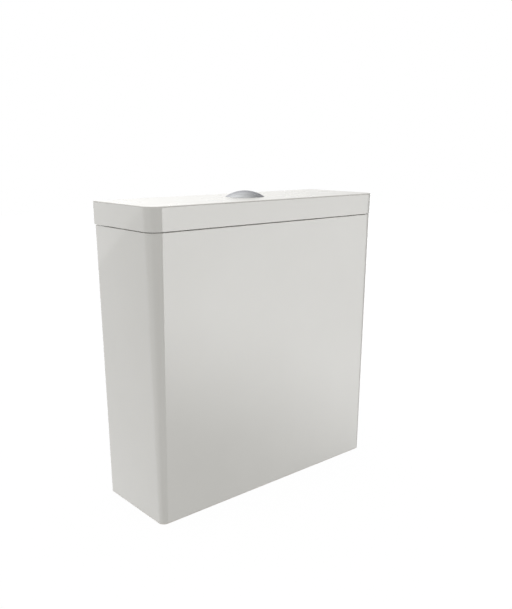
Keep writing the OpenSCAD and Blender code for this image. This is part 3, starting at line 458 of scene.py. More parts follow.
openings = cross_slots(0.0, WINDOW_HALF, WINDOW_REACH, WINDOW_LOW, WINDOW_TOP)
openings += [drill(0.0, side * DECK_HOLE_Y, DECK_LOW - 5.5, DECK_TOP + 5.5, DECK_HOLE_R, 32)
             for side in (-1, 1)]
fit(polished(cut(cage_piece, openings), bevel=0.5, limit=55.0), "valve_cage")
fit(polished(turned("half_flush_float_cup", [
    (CUP_IN, CUP_LOW, 0.4), (CUP_IN + CUP_T, CUP_LOW, 0.4), (CUP_IN + CUP_T, CUP_TOP - CUP_T, 1.0),
    (CUP_OUT - CUP_T, CUP_TOP - CUP_T, 1.0), (CUP_OUT - CUP_T, CUP_LOW, 0.5), (CUP_OUT, CUP_LOW, 0.5),
    (CUP_OUT, CUP_TOP, 2.2), (CUP_IN, CUP_TOP, 0.8)], pale_plastic)), "half_flush_float")

# Overflow tube. A plain white pipe that lifts off the seat with its red seal, which a ring under
# it holds against the pipe's flange. Water above the pipe's open top runs straight through.
red_rubber = rubbery("red_seal_rubber", (0.36, 0.035, 0.022), 0.5)
TUBE_R, TUBE_IN, TUBE_LOW, TUBE_TOP = 14.0, 12.0, 52.0, 288.0
TUBE_FLANGE_R, TUBE_FLANGE_TOP, SEAL_R, SEAL_TOP, RETAINER_R = 30.0, 62.0, 32.0, 59.0, 21.0
COLLAR_R, COLLAR_LOW, COLLAR_TOP = 15.0, 268.5, 270.0
fit(polished(turned("overflow_tube_moulding", [
    (TUBE_IN, TUBE_LOW, 0.6), (TUBE_R, TUBE_LOW, 0.6), (TUBE_R, SEAL_TOP, 0.2), (TUBE_FLANGE_R, SEAL_TOP, 0.5),
    (TUBE_FLANGE_R, TUBE_FLANGE_TOP, 1.0), (TUBE_R, TUBE_FLANGE_TOP, 1.5), (TUBE_R, COLLAR_LOW, 0.3),
    (COLLAR_R, COLLAR_LOW, 0.3), (COLLAR_R, COLLAR_TOP, 0.3), (TUBE_R, COLLAR_TOP, 0.3),
    (TUBE_R, TUBE_TOP, 0.9), (TUBE_IN, TUBE_TOP, 0.9)], white_plastic)), "overflow_tube")
fit(polished(turned("flush_seal_ring", ring_line(TUBE_R, SEAL_R, SEAT_TOP, SEAL_TOP, 0.9), red_rubber)),
    "flush_seal")
fit(polished(turned("seal_retainer_ring", ring_line(TUBE_R, RETAINER_R, TUBE_LOW, SEAT_TOP, 0.7),
                    white_plastic)), "seal_retainer")

# Lifting gear. A pale bridge stands on the cage and carries two rockers on steel pins. The blue
# rocker lifts the loose blue yoke, and the green one lifts the stirrup fixed on the tube.
blue_plastic = moulded("blue_moulding", (0.030, 0.155, 0.42), 0.34)
green_plastic = moulded("green_moulding", (0.16, 0.36, 0.085), 0.34)


def bright_steel():
    """Drawn steel, its fine lines along Y."""
    material, tree, shader, place = finish("bright_steel", Metallic=1.0)
    drawn = wire(tree, "ShaderNodeMapping", {"Vector": place, "Scale": (1.0, 0.08, 1.0)})["Vector"]
    grey = tinted(tree, mottle(tree, drawn, 900.0, 0.0, 1.0), (0.52, 0.52, 0.53), (0.66, 0.66, 0.67))
    tree.links.new(grey, shader["Base Color"])
    tree.links.new(mottle(tree, drawn, 600.0, 0.2, 0.34), shader["Roughness"])
    return material


steel = bright_steel()
for node, ease, material in (("bridge", 0.6, pale_plastic), ("full_rocker", 0.5, blue_plastic),
                             ("half_rocker", 0.5, green_plastic), ("lift_yoke", 0.5, blue_plastic),
                             ("tube_stirrup", 0.5, green_plastic), ("rocker_pins", 0.4, steel)):
    fit(softened(node, ease, material, node + "_part"), node)

# Fill valve. A threaded tail through the floor with its washer, nut and strainer, a riser inside
# a sleeve with four outlet ports, and a head whose pilot hole the lever closes.
grey_plastic = moulded("grey_moulding", (0.31, 0.33, 0.35))
FILL = (-INLET_X, 0.0)
FILL_LOW, FILL_TOP, RISER_R, RISER_IN = 2.0, 277.0, 8.0, 5.5
INLET_R, INLET_ROOT, INLET_BORE, INLET_BORE_TOP, INLET_PITCH = 10.4, 9.5, 7.5, 26.0, 1.8
NECK_R, NECK_LOW, NECK_TOP = 9.8, 24.0, 25.0
INLET_FLANGE_R, INLET_FLANGE_LOW, INLET_FLANGE_TOP, INLET_WASHER_IN = 17.5, 46.5, 51.0, 10.6
SLEEVE_R, SLEEVE_IN, SLEEVE_STOP_R, SLEEVE_STOP_LOW, SLEEVE_STOP_TOP = 13.5, 11.0, 17.5, 185.8, 189.8
PORT_HALF, PORT_LOW, PORT_TOP, PORT_REACH = 4.0, 56.0, 70.0, 20.0


def coil_tree():
    """A wire wound on a helix. Its ends may lie flat for a share of the winding."""
    tree = bpy.data.node_groups.new("wound_wire", "GeometryNodeTree")
    for label, kind in (("Mean Radius", "NodeSocketFloat"), ("Rise", "NodeSocketFloat"),
                        ("Turns", "NodeSocketFloat"), ("Wire Radius", "NodeSocketFloat"),
                        ("Wire Sides", "NodeSocketInt"), ("Steps", "NodeSocketInt"),
                        ("Flat Turn", "NodeSocketFloat"), ("Foot", "NodeSocketVector"),
                        ("Finish", "NodeSocketMaterial")):
        tree.interface.new_socket(label, in_out="INPUT", socket_type=kind)
    tree.interface.new_socket("Geometry", in_out="OUTPUT", socket_type="NodeSocketGeometry")
    given = tree.nodes.new("NodeGroupInput").outputs
    spiral = wire(tree, "GeometryNodeCurveSpiral", {
        "Resolution": given["Steps"], "Rotations": given["Turns"], "Start Radius": given["Mean Radius"],
        "End Radius": given["Mean Radius"], "Height": given["Rise"]})["Curve"]
    along = wire(tree, "GeometryNodeSplineParameter", {})["Factor"]
    rest = wire(tree, "ShaderNodeMath", {0: 1.0, 1: given["Flat Turn"]}, operation="SUBTRACT")[0]
    level = wire(tree, "ShaderNodeMapRange", {"Value": along, "From Min": given["Flat Turn"], "From Max": rest})
    stay = wire(tree, "GeometryNodeInputPosition", {})["Position"]
    flat = wire(tree, "ShaderNodeSeparateXYZ", {"Vector": stay})
    height = wire(tree, "ShaderNodeMath", {0: level["Result"], 1: given["Rise"]}, operation="MULTIPLY")[0]
    moved = wire(tree, "ShaderNodeCombineXYZ", {"X": flat["X"], "Y": flat["Y"], "Z": height})["Vector"]
    path = wire(tree, "GeometryNodeSetPosition", {"Geometry": spiral, "Position": moved})["Geometry"]
    upright = wire(tree, "GeometryNodeSetCurveNormal", {"Curve": path}, mode="Z_UP")["Curve"]
    section = wire(tree, "GeometryNodeCurvePrimitiveCircle", {
        "Resolution": given["Wire Sides"], "Radius": given["Wire Radius"]})["Curve"]
    wound = wire(tree, "GeometryNodeCurveToMesh", {"Curve": upright, "Profile Curve": section,
                                                   "Fill Caps": True})["Mesh"]
    placed = wire(tree, "GeometryNodeTransform", {"Geometry": wound, "Translation": given["Foot"]})["Geometry"]
    real = wire(tree, "GeometryNodeRealizeInstances", {"Geometry": placed})["Geometry"]
    done = wire(tree, "GeometryNodeSetMaterial", {"Geometry": real, "Material": given["Finish"]})["Geometry"]
    tree.links.new(done, tree.nodes.new("NodeGroupOutput").inputs["Geometry"])
    return tree


def grown(name, tree, values):
    """A plain mesh from a tree of nodes with its named inputs set."""
    piece = bpy.data.objects.new(name, bpy.data.meshes.new(name))
    bpy.context.scene.collection.objects.link(piece)
    maker = piece.modifiers.new("maker", "NODES")
    maker.node_group = tree
    for item in tree.interface.items_tree:
        if item.in_out == "INPUT" and item.name in values:
            maker[item.identifier] = values[item.name]
    settled(piece).data.materials.clear()
    piece.data.materials.append(values["Finish"])
    return piece


wound_wire = coil_tree()


def coil(name, material, at, low, high, radius, turns, wire_r, sides=4, steps=48, flat=0.0):
    """A wire or thread ridge wound from low to high around an upright axis."""
    piece = grown(name, wound_wire, {
        "Mean Radius": radius * MM, "Rise": (high - low) * MM, "Turns": float(turns),
        "Wire Radius": wire_r * MM, "Wire Sides": sides, "Steps": steps, "Flat Turn": flat,
        "Foot": (at[0] * MM, at[1] * MM, low * MM), "Finish": material})
    return polished(piece)


def thread(name, node, material, at, low, high, crest_r, pitch):
    """The helical ridge of a thread, riding with the piece it is cut on."""
    ridge = coil(name, material, at, low, high, crest_r - 0.55 * pitch, (high - low) / pitch, 0.55 * pitch)
    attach(ridge, body_of[node])


fit(polished(turned("fill_riser_moulding", [
    (INLET_BORE, FILL_LOW, 0.3), (INLET_ROOT, FILL_LOW, 0.5), (INLET_ROOT, NECK_LOW - 0.4, 0.3),
    (NECK_R, NECK_LOW), (NECK_R, NECK_TOP), (INLET_R, NECK_TOP, 0.2), (INLET_R, INLET_FLANGE_LOW, 0.3),
    (INLET_FLANGE_R, INLET_FLANGE_LOW, 0.5), (INLET_FLANGE_R, INLET_FLANGE_TOP, 0.8),
    (RISER_R, INLET_FLANGE_TOP, 0.5), (RISER_R, FILL_TOP, 0.2), (RISER_IN, FILL_TOP, 0.2),
    (RISER_IN, INLET_BORE_TOP, 0.2), (INLET_BORE, INLET_BORE_TOP, 0.2)], white_plastic, FILL)), "fill_riser")
thread("inlet_tail_thread", "fill_riser", white_plastic, FILL, FILL_LOW + 1.2, NECK_LOW - 1.2, INLET_R,
       INLET_PITCH)
inlet_washer = ring_line(INLET_WASHER_IN, INLET_FLANGE_R, FLOOR_TOP, INLET_FLANGE_LOW, 0.7)
fit(polished(turned("fill_washer_ring", inlet_washer, black_rubber, FILL)), "fill_washer")
fit(softened("fill_backnut", 0.7, white_plastic, "fill_backnut_moulding"), "fill_backnut")
fit(softened("inlet_strainer", 0.3, blue_plastic, "inlet_strainer_moulding"), "inlet_strainer")
sleeve_piece = turned("fill_sleeve_moulding", [
    (SLEEVE_IN, INLET_FLANGE_TOP, 0.4), (SLEEVE_R, INLET_FLANGE_TOP, 0.4), (SLEEVE_R, SLEEVE_STOP_LOW, 0.4),
    (SLEEVE_STOP_R, SLEEVE_STOP_LOW, 0.8), (SLEEVE_STOP_R, SLEEVE_STOP_TOP, 0.6),
    (SLEEVE_R, SLEEVE_STOP_TOP, 0.5), (SLEEVE_R, FILL_TOP, 0.3), (SLEEVE_IN, FILL_TOP, 0.3)],
    white_plastic, FILL)
ports = cross_slots(-INLET_X, PORT_HALF, PORT_REACH, PORT_LOW, PORT_TOP)
fit(polished(cut(sleeve_piece, ports), bevel=0.35, limit=55.0), "fill_sleeve")
for node, ease, material, ending in (
        ("fill_head", 0.7, grey_plastic, "_moulding"), ("fill_diaphragm", 0.3, black_rubber, "_disc"),
        ("fill_cap", 0.6, white_plastic, "_moulding"), ("lever_pin", 0.3, steel, "_steel"),
        ("fill_lever", 0.5, blue_plastic, "_moulding"), ("lever_pad", 0.25, black_rubber, "_disc")):
    fit(softened(node, ease, material, node + ending), node)

# Grip ribs. Fine upright ribs are moulded around two pieces that are turned by hand: the fill
# valve's cap and the blanking plug's head.


def rib_tree():
    """Half-round upright ribs spaced around a circle."""
    tree = bpy.data.node_groups.new("grip_ribs", "GeometryNodeTree")
    for label, kind in (("Count", "NodeSocketInt"), ("Circle Radius", "NodeSocketFloat"),
                        ("Rib Radius", "NodeSocketFloat"), ("Rib Height", "NodeSocketFloat"),
                        ("Middle", "NodeSocketVector"), ("Finish", "NodeSocketMaterial")):
        tree.interface.new_socket(label, in_out="INPUT", socket_type=kind)
    tree.interface.new_socket("Geometry", in_out="OUTPUT", socket_type="NodeSocketGeometry")
    given = tree.nodes.new("NodeGroupInput").outputs
    circle = wire(tree, "GeometryNodeMeshCircle", {"Vertices": given["Count"],
                                                   "Radius": given["Circle Radius"]})["Mesh"]
    rib = wire(tree, "GeometryNodeMeshCylinder", {"Vertices": 10, "Radius": given["Rib Radius"],
                                                  "Depth": given["Rib Height"]})["Mesh"]
    set_out = wire(tree, "GeometryNodeInstanceOnPoints", {"Points": circle, "Instance": rib})["Instances"]
    placed = wire(tree, "GeometryNodeTransform", {"Geometry": set_out,
                                                  "Translation": given["Middle"]})["Geometry"]
    real = wire(tree, "GeometryNodeRealizeInstances", {"Geometry": placed})["Geometry"]
    done = wire(tree, "GeometryNodeSetMaterial", {"Geometry": real, "Material": given["Finish"]})["Geometry"]
    tree.links.new(done, tree.nodes.new("NodeGroupOutput").inputs["Geometry"])
    return tree


grip_ribs = rib_tree()


def ribs(name, node, material, at, count, circle_r, rib_r, low, high):
    """A ring of ribs from low to high, riding with the piece they are moulded on."""
    piece = grown(name, grip_ribs, {
        "Count": count, "Circle Radius": circle_r * MM, "Rib Radius": rib_r * MM,
        "Rib Height": (high - low) * MM, "Middle": (at[0] * MM, at[1] * MM, (low + high) / 2 * MM),
        "Finish": material})
    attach(polished(piece), body_of[node])


PLUG = (INLET_X, 0.0)
ribs("fill_cap_ribs", "fill_cap", white_plastic, FILL, count=40, circle_r=21.3, rib_r=0.7, low=302.0,
     high=307.8)
ribs("blanking_plug_ribs", "blanking_plug", white_plastic, PLUG, count=32, circle_r=17.3, rib_r=0.6,
     low=47.2, high=50.3)

# Float. A pale open-bottomed cup that rises with the water around the sleeve. Its threaded rod
# carries a blue cross nut that turns the lever when the tank is full.
fit(softened("fill_float", 0.8, pale_plastic, "fill_float_cup"), "fill_float")
FLOAT_ROD = (-159.0, 0.0)
FLOAT_ROD_R, FLOAT_ROD_ROOT, FINE_PITCH = 2.5, 2.2, 1.25
FLOAT_ROD_LOW, FLOAT_ROD_NECK, FLOAT_ROD_TOP = 252.0, 264.0, 329.2
fit(polished(turned("float_rod_moulding", [
    (0.0, FLOAT_ROD_LOW), (FLOAT_ROD_R, FLOAT_ROD_LOW, 0.3), (FLOAT_ROD_R, FLOAT_ROD_NECK, 0.3),
    (FLOAT_ROD_ROOT, FLOAT_ROD_NECK, 0.1), (FLOAT_ROD_ROOT, FLOAT_ROD_TOP, 0.6), (0.0, FLOAT_ROD_TOP)],
    white_plastic, FLOAT_ROD, 32)), "float_rod")
thread("float_rod_thread", "float_rod", white_plastic, FLOAT_ROD, FLOAT_ROD_NECK + 1.0, FLOAT_ROD_TOP - 1.2,
       FLOAT_ROD_R, FINE_PITCH)
fit(softened("float_barrel", 0.4, blue_plastic, "float_barrel_moulding"), "float_barrel")

# Blanking plug. A white plug with its washer and nut closes the inlet hole that isn't used.
PLUG_LOW, PLUG_NECK, PLUG_ROOT = 21.0, 34.0, 9.6
fit(polished(turned("blanking_plug_moulding", [
    (0.0, PLUG_LOW), (PLUG_ROOT, PLUG_LOW, 0.5), (PLUG_ROOT, PLUG_NECK, 0.3), (INLET_R, PLUG_NECK, 0.3),
    (INLET_R, INLET_FLANGE_LOW, 0.3), (INLET_FLANGE_R, INLET_FLANGE_LOW, 0.5),
    (INLET_FLANGE_R, INLET_FLANGE_TOP, 1.2), (0.0, INLET_FLANGE_TOP)], white_plastic, PLUG)), "blanking_plug")
thread("blanking_plug_thread", "blanking_plug", white_plastic, PLUG, PLUG_LOW + 1.0, PLUG_NECK - 0.4, INLET_R,
       INLET_PITCH)
fit(polished(turned("plug_washer_ring", inlet_washer, black_rubber, PLUG)), "plug_washer")
fit(softened("plug_nut", 0.7, white_plastic, "plug_nut_moulding"), "plug_nut")

# Lid. A flat glazed china plate with a skirt as wide as the tank, lifted on four grey rubber pads
# so that a thin dark joint shows below it. Six lugs under it keep it from sliding.
LID_LOW, LID_TOP, LID_UNDER = 357.7, 385.1, 376.1
LID_W, LID_D, LID_SHIFT, LID_WALL = 371.0, 124.5, 0.75, 9.0
LID_EASE, BUTTON_HOLE_R = 1.6, 22.0
LUG_LEN, LUG_T, LUG_X = 30.0, 5.0, 100.0
LUG_LOW, LUG_OUT_Y, LUG_OUT_X = 351.0, 50.0, 174.0
PAD_R, PAD_X, PAD_Y = 3.0, 180.5, 36.0
skirt_w, skirt_d = LID_W - 2 * LID_WALL, LID_D - 2 * LID_WALL
lid_outside = (LID_W, LID_D, FRONT_R + 0.5, BACK_R, LID_SHIFT)
lid_inside = (skirt_w, skirt_d, INNER_R, INNER_R, LID_SHIFT)
half_skirt = LID_WALL / 2
lid_glaze = china_glaze("lid_china_glaze", LID_TOP, LID_EASE)
lid_piece = box_shell("lid_ware", [
    (lid_inside, [(FACE_INSET, LID_UNDER), (0.0, LID_UNDER, 3.0), (0.0, LID_LOW, 1.2),
                  (-half_skirt, LID_LOW)]),
    (lid_outside, [(half_skirt, LID_LOW), (0.0, LID_LOW, 0.5), (0.0, LID_TOP, LID_EASE),
                   (FACE_INSET, LID_TOP)]),
], lid_glaze)


def lug(centre, out, skirt, facing):
    """One lug: along the skirt and down inside the rim. facing is 0 for +Y, 1 for +X."""
    sign = 1.0 if out > 0 else -1.0
    inner, reach, heel = out - sign * LUG_T, skirt + sign, LID_LOW + 1.5
    outline = [(inner, LUG_LOW), (out, LUG_LOW), (out, heel), (reach, heel), (reach, LID_UNDER + 1.0),
               (inner, LID_UNDER + 1.0)]
    ends = [[(along, a, z) if facing == 0 else (a, along, z) for a, z in outline]
            for along in (centre - LUG_LEN / 2, centre + LUG_LEN / 2)]
    return loft("lug", ends, None)


lugs = []
for side in (-1, 1):
    lugs.append(lug(side * LUG_X, LUG_OUT_Y, skirt_d / 2 + LID_SHIFT, 0))
    lugs.append(lug(side * LUG_X, -LUG_OUT_Y, -skirt_d / 2 + LID_SHIFT, 0))
    lugs.append(lug(0.0, side * LUG_OUT_X, side * skirt_w / 2, 1))
cut(lid_piece, lugs, "UNION")
cut(lid_piece, [drill(0.0, 0.0, LID_UNDER - HOLE_REACH, LID_TOP + HOLE_REACH, BUTTON_HOLE_R, ROUND)])
fit(polished(lid_piece, bevel=0.4, limit=60.0), "lid")
pad_rubber = rubbery("grey_pad_rubber", (0.10, 0.10, 0.10))
pad_line = [(0.0, TANK_H), (PAD_R, TANK_H, 0.3), (PAD_R, LID_LOW, 0.3), (0.0, LID_LOW)]
pads = [turned("lid_pads_rubber", pad_line, pad_rubber, (side * PAD_X, end * PAD_Y), 32)
        for side in (-1, 1) for end in (-1, 1)]
fit(polished(cut(pads[0], pads[1:], "UNION")), "lid_pads")

# Button housing. A white threaded sleeve hangs in the lid's hole from its flange, and a nut and a
# washer clamp it from below. Two return springs stand on its floor around the button stems.
FULL_X, HALF_X = -8.0, 11.0
HOUSING_LOW, HOUSING_FLOOR, HOUSING_R, HOUSING_IN, HOUSING_ROOT = 358.1, 361.1, 21.4, 19.6, 20.8
THREAD_TOP, HOUSING_PITCH, FLANGE_TOP, FLANGE_R, STEM_HOLE_R = 375.2, 1.5, 386.1, 22.8, 3.8
WASHER_R, WASHER_IN, WASHER_T = 27.8, 21.6, 1.5
housing_piece = turned("button_housing_moulding", [
    (0.0, HOUSING_LOW), (HOUSING_ROOT, HOUSING_LOW, 0.6), (HOUSING_ROOT, THREAD_TOP, 0.3),
    (HOUSING_R, THREAD_TOP, 0.3), (HOUSING_R, LID_TOP, 0.2), (FLANGE_R, LID_TOP, 0.2),
    (FLANGE_R, FLANGE_TOP, 0.3), (HOUSING_IN, FLANGE_TOP, 0.3), (HOUSING_IN, HOUSING_FLOOR, 0.8),
    (0.0, HOUSING_FLOOR)], white_plastic)
cut(housing_piece, [drill(x, 0.0, HOUSING_LOW - HOLE_REACH, HOUSING_FLOOR + HOLE_REACH, STEM_HOLE_R, 48)
                    for x in (FULL_X, HALF_X)])
fit(polished(housing_piece, bevel=0.2, limit=60.0), "button_housing")
thread("housing_thread", "button_housing", white_plastic, (0.0, 0.0), HOUSING_LOW + 1.5, THREAD_TOP - 0.6,
       HOUSING_R, HOUSING_PITCH)
fit(softened("housing_nut", 0.8, white_plastic, "housing_nut_moulding"), "housing_nut")
fit(polished(turned("housing_washer_ring", ring_line(WASHER_IN, WASHER_R, LID_UNDER - WASHER_T, LID_UNDER, 0.4),
                    black_rubber)), "housing_washer")
SPRING_LOW, SPRING_HIGH, SPRING_R, SPRING_WIRE, SPRING_TURNS = 361.2, 385.9, 5.0, 0.6, 7
for x, node, joint in ((FULL_X, "full_spring", "full_press"), (HALF_X, "half_spring", "half_press")):
    spring = coil(node + "_wire", steel, (x, 0.0), SPRING_LOW + SPRING_WIRE, SPRING_HIGH - SPRING_WIRE,
                  SPRING_R, SPRING_TURNS, SPRING_WIRE, sides=12, steps=40, flat=0.06)
    fit(spring, node)
    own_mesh(spring)

# Push button. A satin chrome dome in three pieces: a ring that stays on the lid, and a large and a
# small button inside it, parted by a fine gap. Each button has a stem with a clip and a push rod.
DOME_R, DOME_TOP, DOME_EDGE = 25.0, 392.8, 385.4
SPHERE_R = (DOME_R ** 2 + (DOME_TOP - DOME_EDGE) ** 2) / (2 * (DOME_TOP - DOME_EDGE))
BUTTON_R, SPLIT_X, SPLIT_GAP, BUTTON_LOW = 19.2, 3.0, 0.5, 381.1
BUTTON_EASE, BUTTON_CHAMFER, SPLIT_CORNER_R, ALMOST = 0.15, 0.25, 1.0, 1e-6
ARC_STEPS, CORNER_STEPS, FLAT_STEPS = 72, 8, 32
RING_IN, RING_LAND, RING_PLAY = 19.9, 0.02, 0.2
STEM_R, STEM_LOW, POCKET_R, POCKET_TOP, ROD_R = 3.5, 351.1, 6.4, 386.1, 2.5
STEM_DEPTH, CLIP_R, BALL_Z, ROD_NECK, ROD_ROOT = 8.0, 6.0, 332.8, 337.0, 2.2


def satin_chrome():
    """Satin chrome plate, brushed along Y."""
    material, tree, shader, place = finish("satin_chrome", Metallic=1.0, Specular_Tint=(0.5, 0.5, 0.52, 1.0))
    grey = tinted(tree, mottle(tree, place, 160.0, 0.0, 1.0), (0.64, 0.65, 0.66), (0.70, 0.71, 0.72))
    tree.links.new(grey, shader["Base Color"])
    lay = wire(tree, "ShaderNodeMapping", {"Vector": place, "Scale": (1.0, 0.05, 1.0)})["Vector"]
    tree.links.new(mottle(tree, lay, 1400.0, 0.2, 0.27), shader["Roughness"])
    return material


def dome_z(x, y):
    """Height of the dome over a point of the lid."""
    return DOME_TOP - SPHERE_R + math.sqrt(SPHERE_R ** 2 - x * x - y * y)


chrome = satin_chrome()
ring_radii = [DOME_R - RING_LAND - (DOME_R - RING_IN) * k / 8 for k in range(9)]
ring_under, ring_bore = FLANGE_TOP + RING_PLAY, FLANGE_R + RING_PLAY
ring_piece = turned("button_ring_plating", [
    (DOME_R, LID_TOP), (DOME_R, DOME_EDGE - RING_LAND), *[(r, dome_z(r, 0.0)) for r in ring_radii],
    (HOUSING_IN, dome_z(HOUSING_IN, 0.0), 0.12), (HOUSING_IN, ring_under), (ring_bore, ring_under),
    (ring_bore, LID_TOP)], chrome, sides=128)
fit(polished(ring_piece), "button_ring")


def button_ring_points(side, inset, share, z):
    """A level of a button's D-shaped outline, drawn in by inset and then shrunk to a share."""
    corner = max(SPLIT_CORNER_R - inset, 0.05)
    flat = side * SPLIT_X * -1 - SPLIT_GAP / 2 - inset
    round_r = BUTTON_R - inset
    open_turn = math.acos((flat - corner) / (round_r - corner))
    cx, cy = flat - corner, (round_r - corner) * math.sin(open_turn)
    arc = [open_turn + (2 * math.pi - 2 * open_turn) * k / ARC_STEPS for k in range(ARC_STEPS + 1)]
    first = [-open_turn * (1 - k / CORNER_STEPS) for k in range(1, CORNER_STEPS + 1)]
    second = [open_turn * k / CORNER_STEPS for k in range(CORNER_STEPS)]
    points = [(round_r * math.cos(t), round_r * math.sin(t)) for t in arc]
    points += [(cx + corner * math.cos(t), -cy + corner * math.sin(t)) for t in first]
    points += [(flat, cy * (2 * k / FLAT_STEPS - 1)) for k in range(1, FLAT_STEPS)]
    points += [(cx + corner * math.cos(t), cy + corner * math.sin(t)) for t in second]
    middle = (flat - round_r) / 2
    points = [(middle + (x - middle) * share, y * share) for x, y in points]
    return [(-side * x, y, dome_z(x, y) + z if z <= 0 else z) for x, y in points]


def button(name, side, stem_x):
    """One button: its domed top, eased edge, skirt, spring pocket and stem."""
    rings = [button_ring_points(side, BUTTON_CHAMFER, 1.0, BUTTON_LOW),
             button_ring_points(side, 0.0, 1.0, BUTTON_LOW + BUTTON_CHAMFER)]
    for k in range(5):
        turn = math.pi / 2 * k / 4
        inset, drop = BUTTON_EASE * (1 - math.cos(turn)), BUTTON_EASE * (1 - math.sin(turn))
        rings.append(button_ring_points(side, inset, 1.0, -drop - ALMOST))
    rings += [button_ring_points(side, BUTTON_EASE, share, -ALMOST)
              for share in (0.97, 0.92, 0.85, 0.76, 0.66, 0.55, 0.44, 0.33, 0.22, 0.12, 0.04)]
    piece = loft(name, rings, chrome)
    pocket = turned("pocket", ring_line(STEM_R - 0.6, POCKET_R, BUTTON_LOW - 2.0, POCKET_TOP, 0.0), None,
                    (stem_x, 0.0), 48)
    cut(piece, [pocket])
    root, bore_top = POCKET_TOP + 1.0, STEM_LOW + STEM_DEPTH
    stem = turned("stem", [(ROD_R, STEM_LOW), (STEM_R, STEM_LOW, 0.4), (STEM_R, root), (0.0, root),
                           (0.0, bore_top), (ROD_R, bore_top)], chrome, (stem_x, 0.0), 48)
    return polished(cut(piece, [stem], "UNION"))


clip_line = ring_line(STEM_R, CLIP_R, HOUSING_LOW - 1.2, HOUSING_LOW - 0.2, 0.25)
tip_turns = [math.radians(t) for t in range(-90, 1, 10)]
rod_line = [(ROD_R * math.cos(t), BALL_Z + ROD_R * math.sin(t)) for t in tip_turns]
rod_line += [(ROD_R, ROD_NECK, 0.2), (ROD_ROOT, ROD_NECK, 0.1), (ROD_ROOT, STEM_LOW + STEM_DEPTH, 0.3),
             (0.0, STEM_LOW + STEM_DEPTH)]
for node, side, x, rod in (("full", -1, FULL_X, blue_plastic), ("half", 1, HALF_X, green_plastic)):
    at = (x, 0.0)
    fit(button(node + "_button_plating", side, x), node + "_button")
    fit(polished(turned(node + "_clip_ring", clip_line, steel, at, 48)), node + "_clip")
    fit(polished(turned(node + "_rod_moulding", rod_line, rod, at, 32)), node + "_rod")
    thread(node + "_rod_thread", node + "_rod", rod, at, ROD_NECK + 1.0, STEM_LOW - 0.5, ROD_R, FINE_PITCH)
    fit(softened(node + "_rod_nut", 0.4, white_plastic, node + "_rod_nut_moulding"), node + "_rod_nut")

# Floor, light and camera. A plain white sweep under soft, even studio light. A large soft box
# stands to the front right and a pale screen to the back left, and both show in the glaze.
SWEEP_HALF, SWEEP_Z = 4.0, -0.0003
floor = bpy.data.objects.new("floor", bpy.data.meshes.new("floor"))
corners = [(x * SWEEP_HALF, y * SWEEP_HALF, SWEEP_Z) for x, y in ((-1, -1), (1, -1), (1, 1), (-1, 1))]
floor.data.from_pydata(corners, [], [(0, 1, 2, 3)])
bpy.context.scene.collection.objects.link(floor)
floor.visible_glossy = False
paper, tree, shader, place = finish("white_sweep", Roughness=0.9)
tree.links.new(tinted(tree, mottle(tree, place, 3.0, 0.0, 1.0), (0.25, 0.25, 0.25), (0.27, 0.27, 0.27)),
               shader["Base Color"])
seen = wire(tree, "ShaderNodeLightPath", {})["Is Camera Ray"]
dimmed = wire(tree, "ShaderNodeMath", {0: seen, 1: 0.85}, operation="MULTIPLY")[0]
matt = wire(tree, "ShaderNodeMixShader", {0: dimmed, 1: tree.nodes["Principled BSDF"].outputs[0]})[0]
white = between(tree, seen, 0.27, 0.965)
lit = wire(tree, "ShaderNodeEmission", {"Color": (1, 1, 1, 1), "Strength": white})[0]
sweep = wire(tree, "ShaderNodeAddShader", {0: matt, 1: lit})[0]
tree.links.new(sweep, tree.nodes["Material Output"].inputs["Surface"])
floor.data.materials.append(paper)

world = bpy.data.worlds.new("studio")
bpy.context.scene.world = world
world.use_nodes = True
world.cycles.sampling_method = "NONE"
tree = world.node_tree
background = tree.nodes["Background"]
ray = wire(tree, "ShaderNodeLightPath", {})
direction = tree.nodes.new("ShaderNodeTexCoord").outputs["Generated"]
axis = wire(tree, "ShaderNodeSeparateXYZ", {"Vector": direction})
tilt = wire(tree, "ShaderNodeMath", {0: axis["Z"]}, operation="ARCSINE")[0]


def fade(value, start, stop, low=0.0, high=1.0):
    """A smooth step between two angles in degrees."""
    return wire(tree, "ShaderNodeMapRange", {
        "Value": value, "From Min": math.radians(start), "From Max": math.radians(stop),
        "To Min": low, "To Max": high}, interpolation_type="SMOOTHSTEP")["Result"]


def both(first, second, operation):
    """Two numbers put together by one sum of arithmetic."""
    return wire(tree, "ShaderNodeMath", {0: first, 1: second}, operation=operation)[0]


def times(first, *others):
    """The product of several numbers."""
    for other in others:
        first = both(first, other, "MULTIPLY")
    return first


def plus(first, *others):
    """The sum of several numbers."""
    for other in others:
        first = both(first, other, "ADD")
    return first


# Angles around the part: turn is 0 at the front and grows to the right, tilt is 0 at the horizon.
turn = both(axis["X"], times(axis["Y"], -1.0), "ARCTAN2")
around = wire(tree, "ShaderNodeMath", {0: turn}, operation="ABSOLUTE")[0]

# The soft box at the front right, its lower end darker and sloping.
slope = times(plus(turn, math.radians(-42)), 0.29)
box_up = times(fade(plus(tilt, slope), -27.5, -13.5, 0.32, 1.0), fade(tilt, 5, -1))
soft_box = times(fade(turn, 29.5, 33.5), fade(turn, 85, 38), box_up, 4.68)

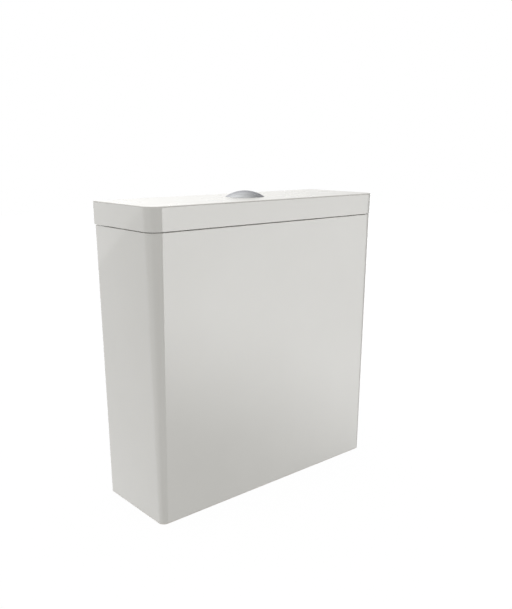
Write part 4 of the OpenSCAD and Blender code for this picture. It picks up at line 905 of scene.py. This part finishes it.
# The screen at the back left with its slanting edge, and the paler strip beside it.
screen_line = both(tilt, times(plus(turn, math.radians(148)), 1.21), "SUBTRACT")
screen_shade = plus(fade(screen_line, -5.3, -4.8, 0.91, 1.35), fade(tilt, -18, -30, 0.0, 0.06))
screen_across, below = fade(turn, -46, -113), fade(tilt, 8, 0)
screen = times(screen_across, fade(turn, -178, -160), screen_shade, below)
screen_edge = times(screen_across, fade(turn, -150, -112), fade(tilt, -5, -12, 0.55, 0.95), below)

# A narrow box at the back right, the room in front, and the ceiling with its pale horizon.
side_box = times(fade(turn, 104, 116), fade(turn, 168, 142), fade(tilt, -27, -13, 0.2, 1.0),
                 fade(tilt, 2, -2), 2.6)
nearby = times(fade(turn, -105, -72), fade(turn, 38, 15), fade(tilt, 8, -2), 0.85)
zenith = fade(tilt, 48, 75)
ceiling = plus(times(fade(around, 100, 165, 0.33, 1.2), both(1.0, zenith, "SUBTRACT")), times(zenith, 0.72))
horizon = times(fade(turn, 110, 165, 0.0, 0.63), fade(tilt, 26, 6))

# The glaze mirrors these shapes, the camera sees white, and everything else gets plain soft light.
mirrored = times(plus(soft_box, screen, screen_edge, side_box, nearby, ceiling, horizon), ray["Is Glossy Ray"])
overhead = plus(times(both(both(axis["Z"], 0.0, "MAXIMUM"), 2.0, "POWER"), 1.4), 0.272)
plain = both(1.0, plus(ray["Is Glossy Ray"], ray["Is Camera Ray"]), "SUBTRACT")
strength = plus(mirrored, ray["Is Camera Ray"], times(plain, overhead))
tree.links.new(strength, background.inputs["Strength"])
background.inputs["Color"].default_value = (1, 1, 1, 1)

camera = bpy.data.objects.new("camera", bpy.data.cameras.new("camera"))
bpy.context.scene.collection.objects.link(camera)
bpy.context.scene.camera = camera
camera.location = (-0.5985, -0.6974, 0.4462)
camera.rotation_mode = "QUATERNION"
camera.rotation_quaternion = Vector((0.60926, 0.72528, -0.32058)).to_track_quat("-Z", "Y")
camera.data.sensor_width = 36.0
camera.data.lens = 40.815
camera.data.shift_x, camera.data.shift_y = 0.03066, 0.12427
camera.data.clip_start = 0.01
bpy.context.scene.view_settings.view_transform = "Standard"
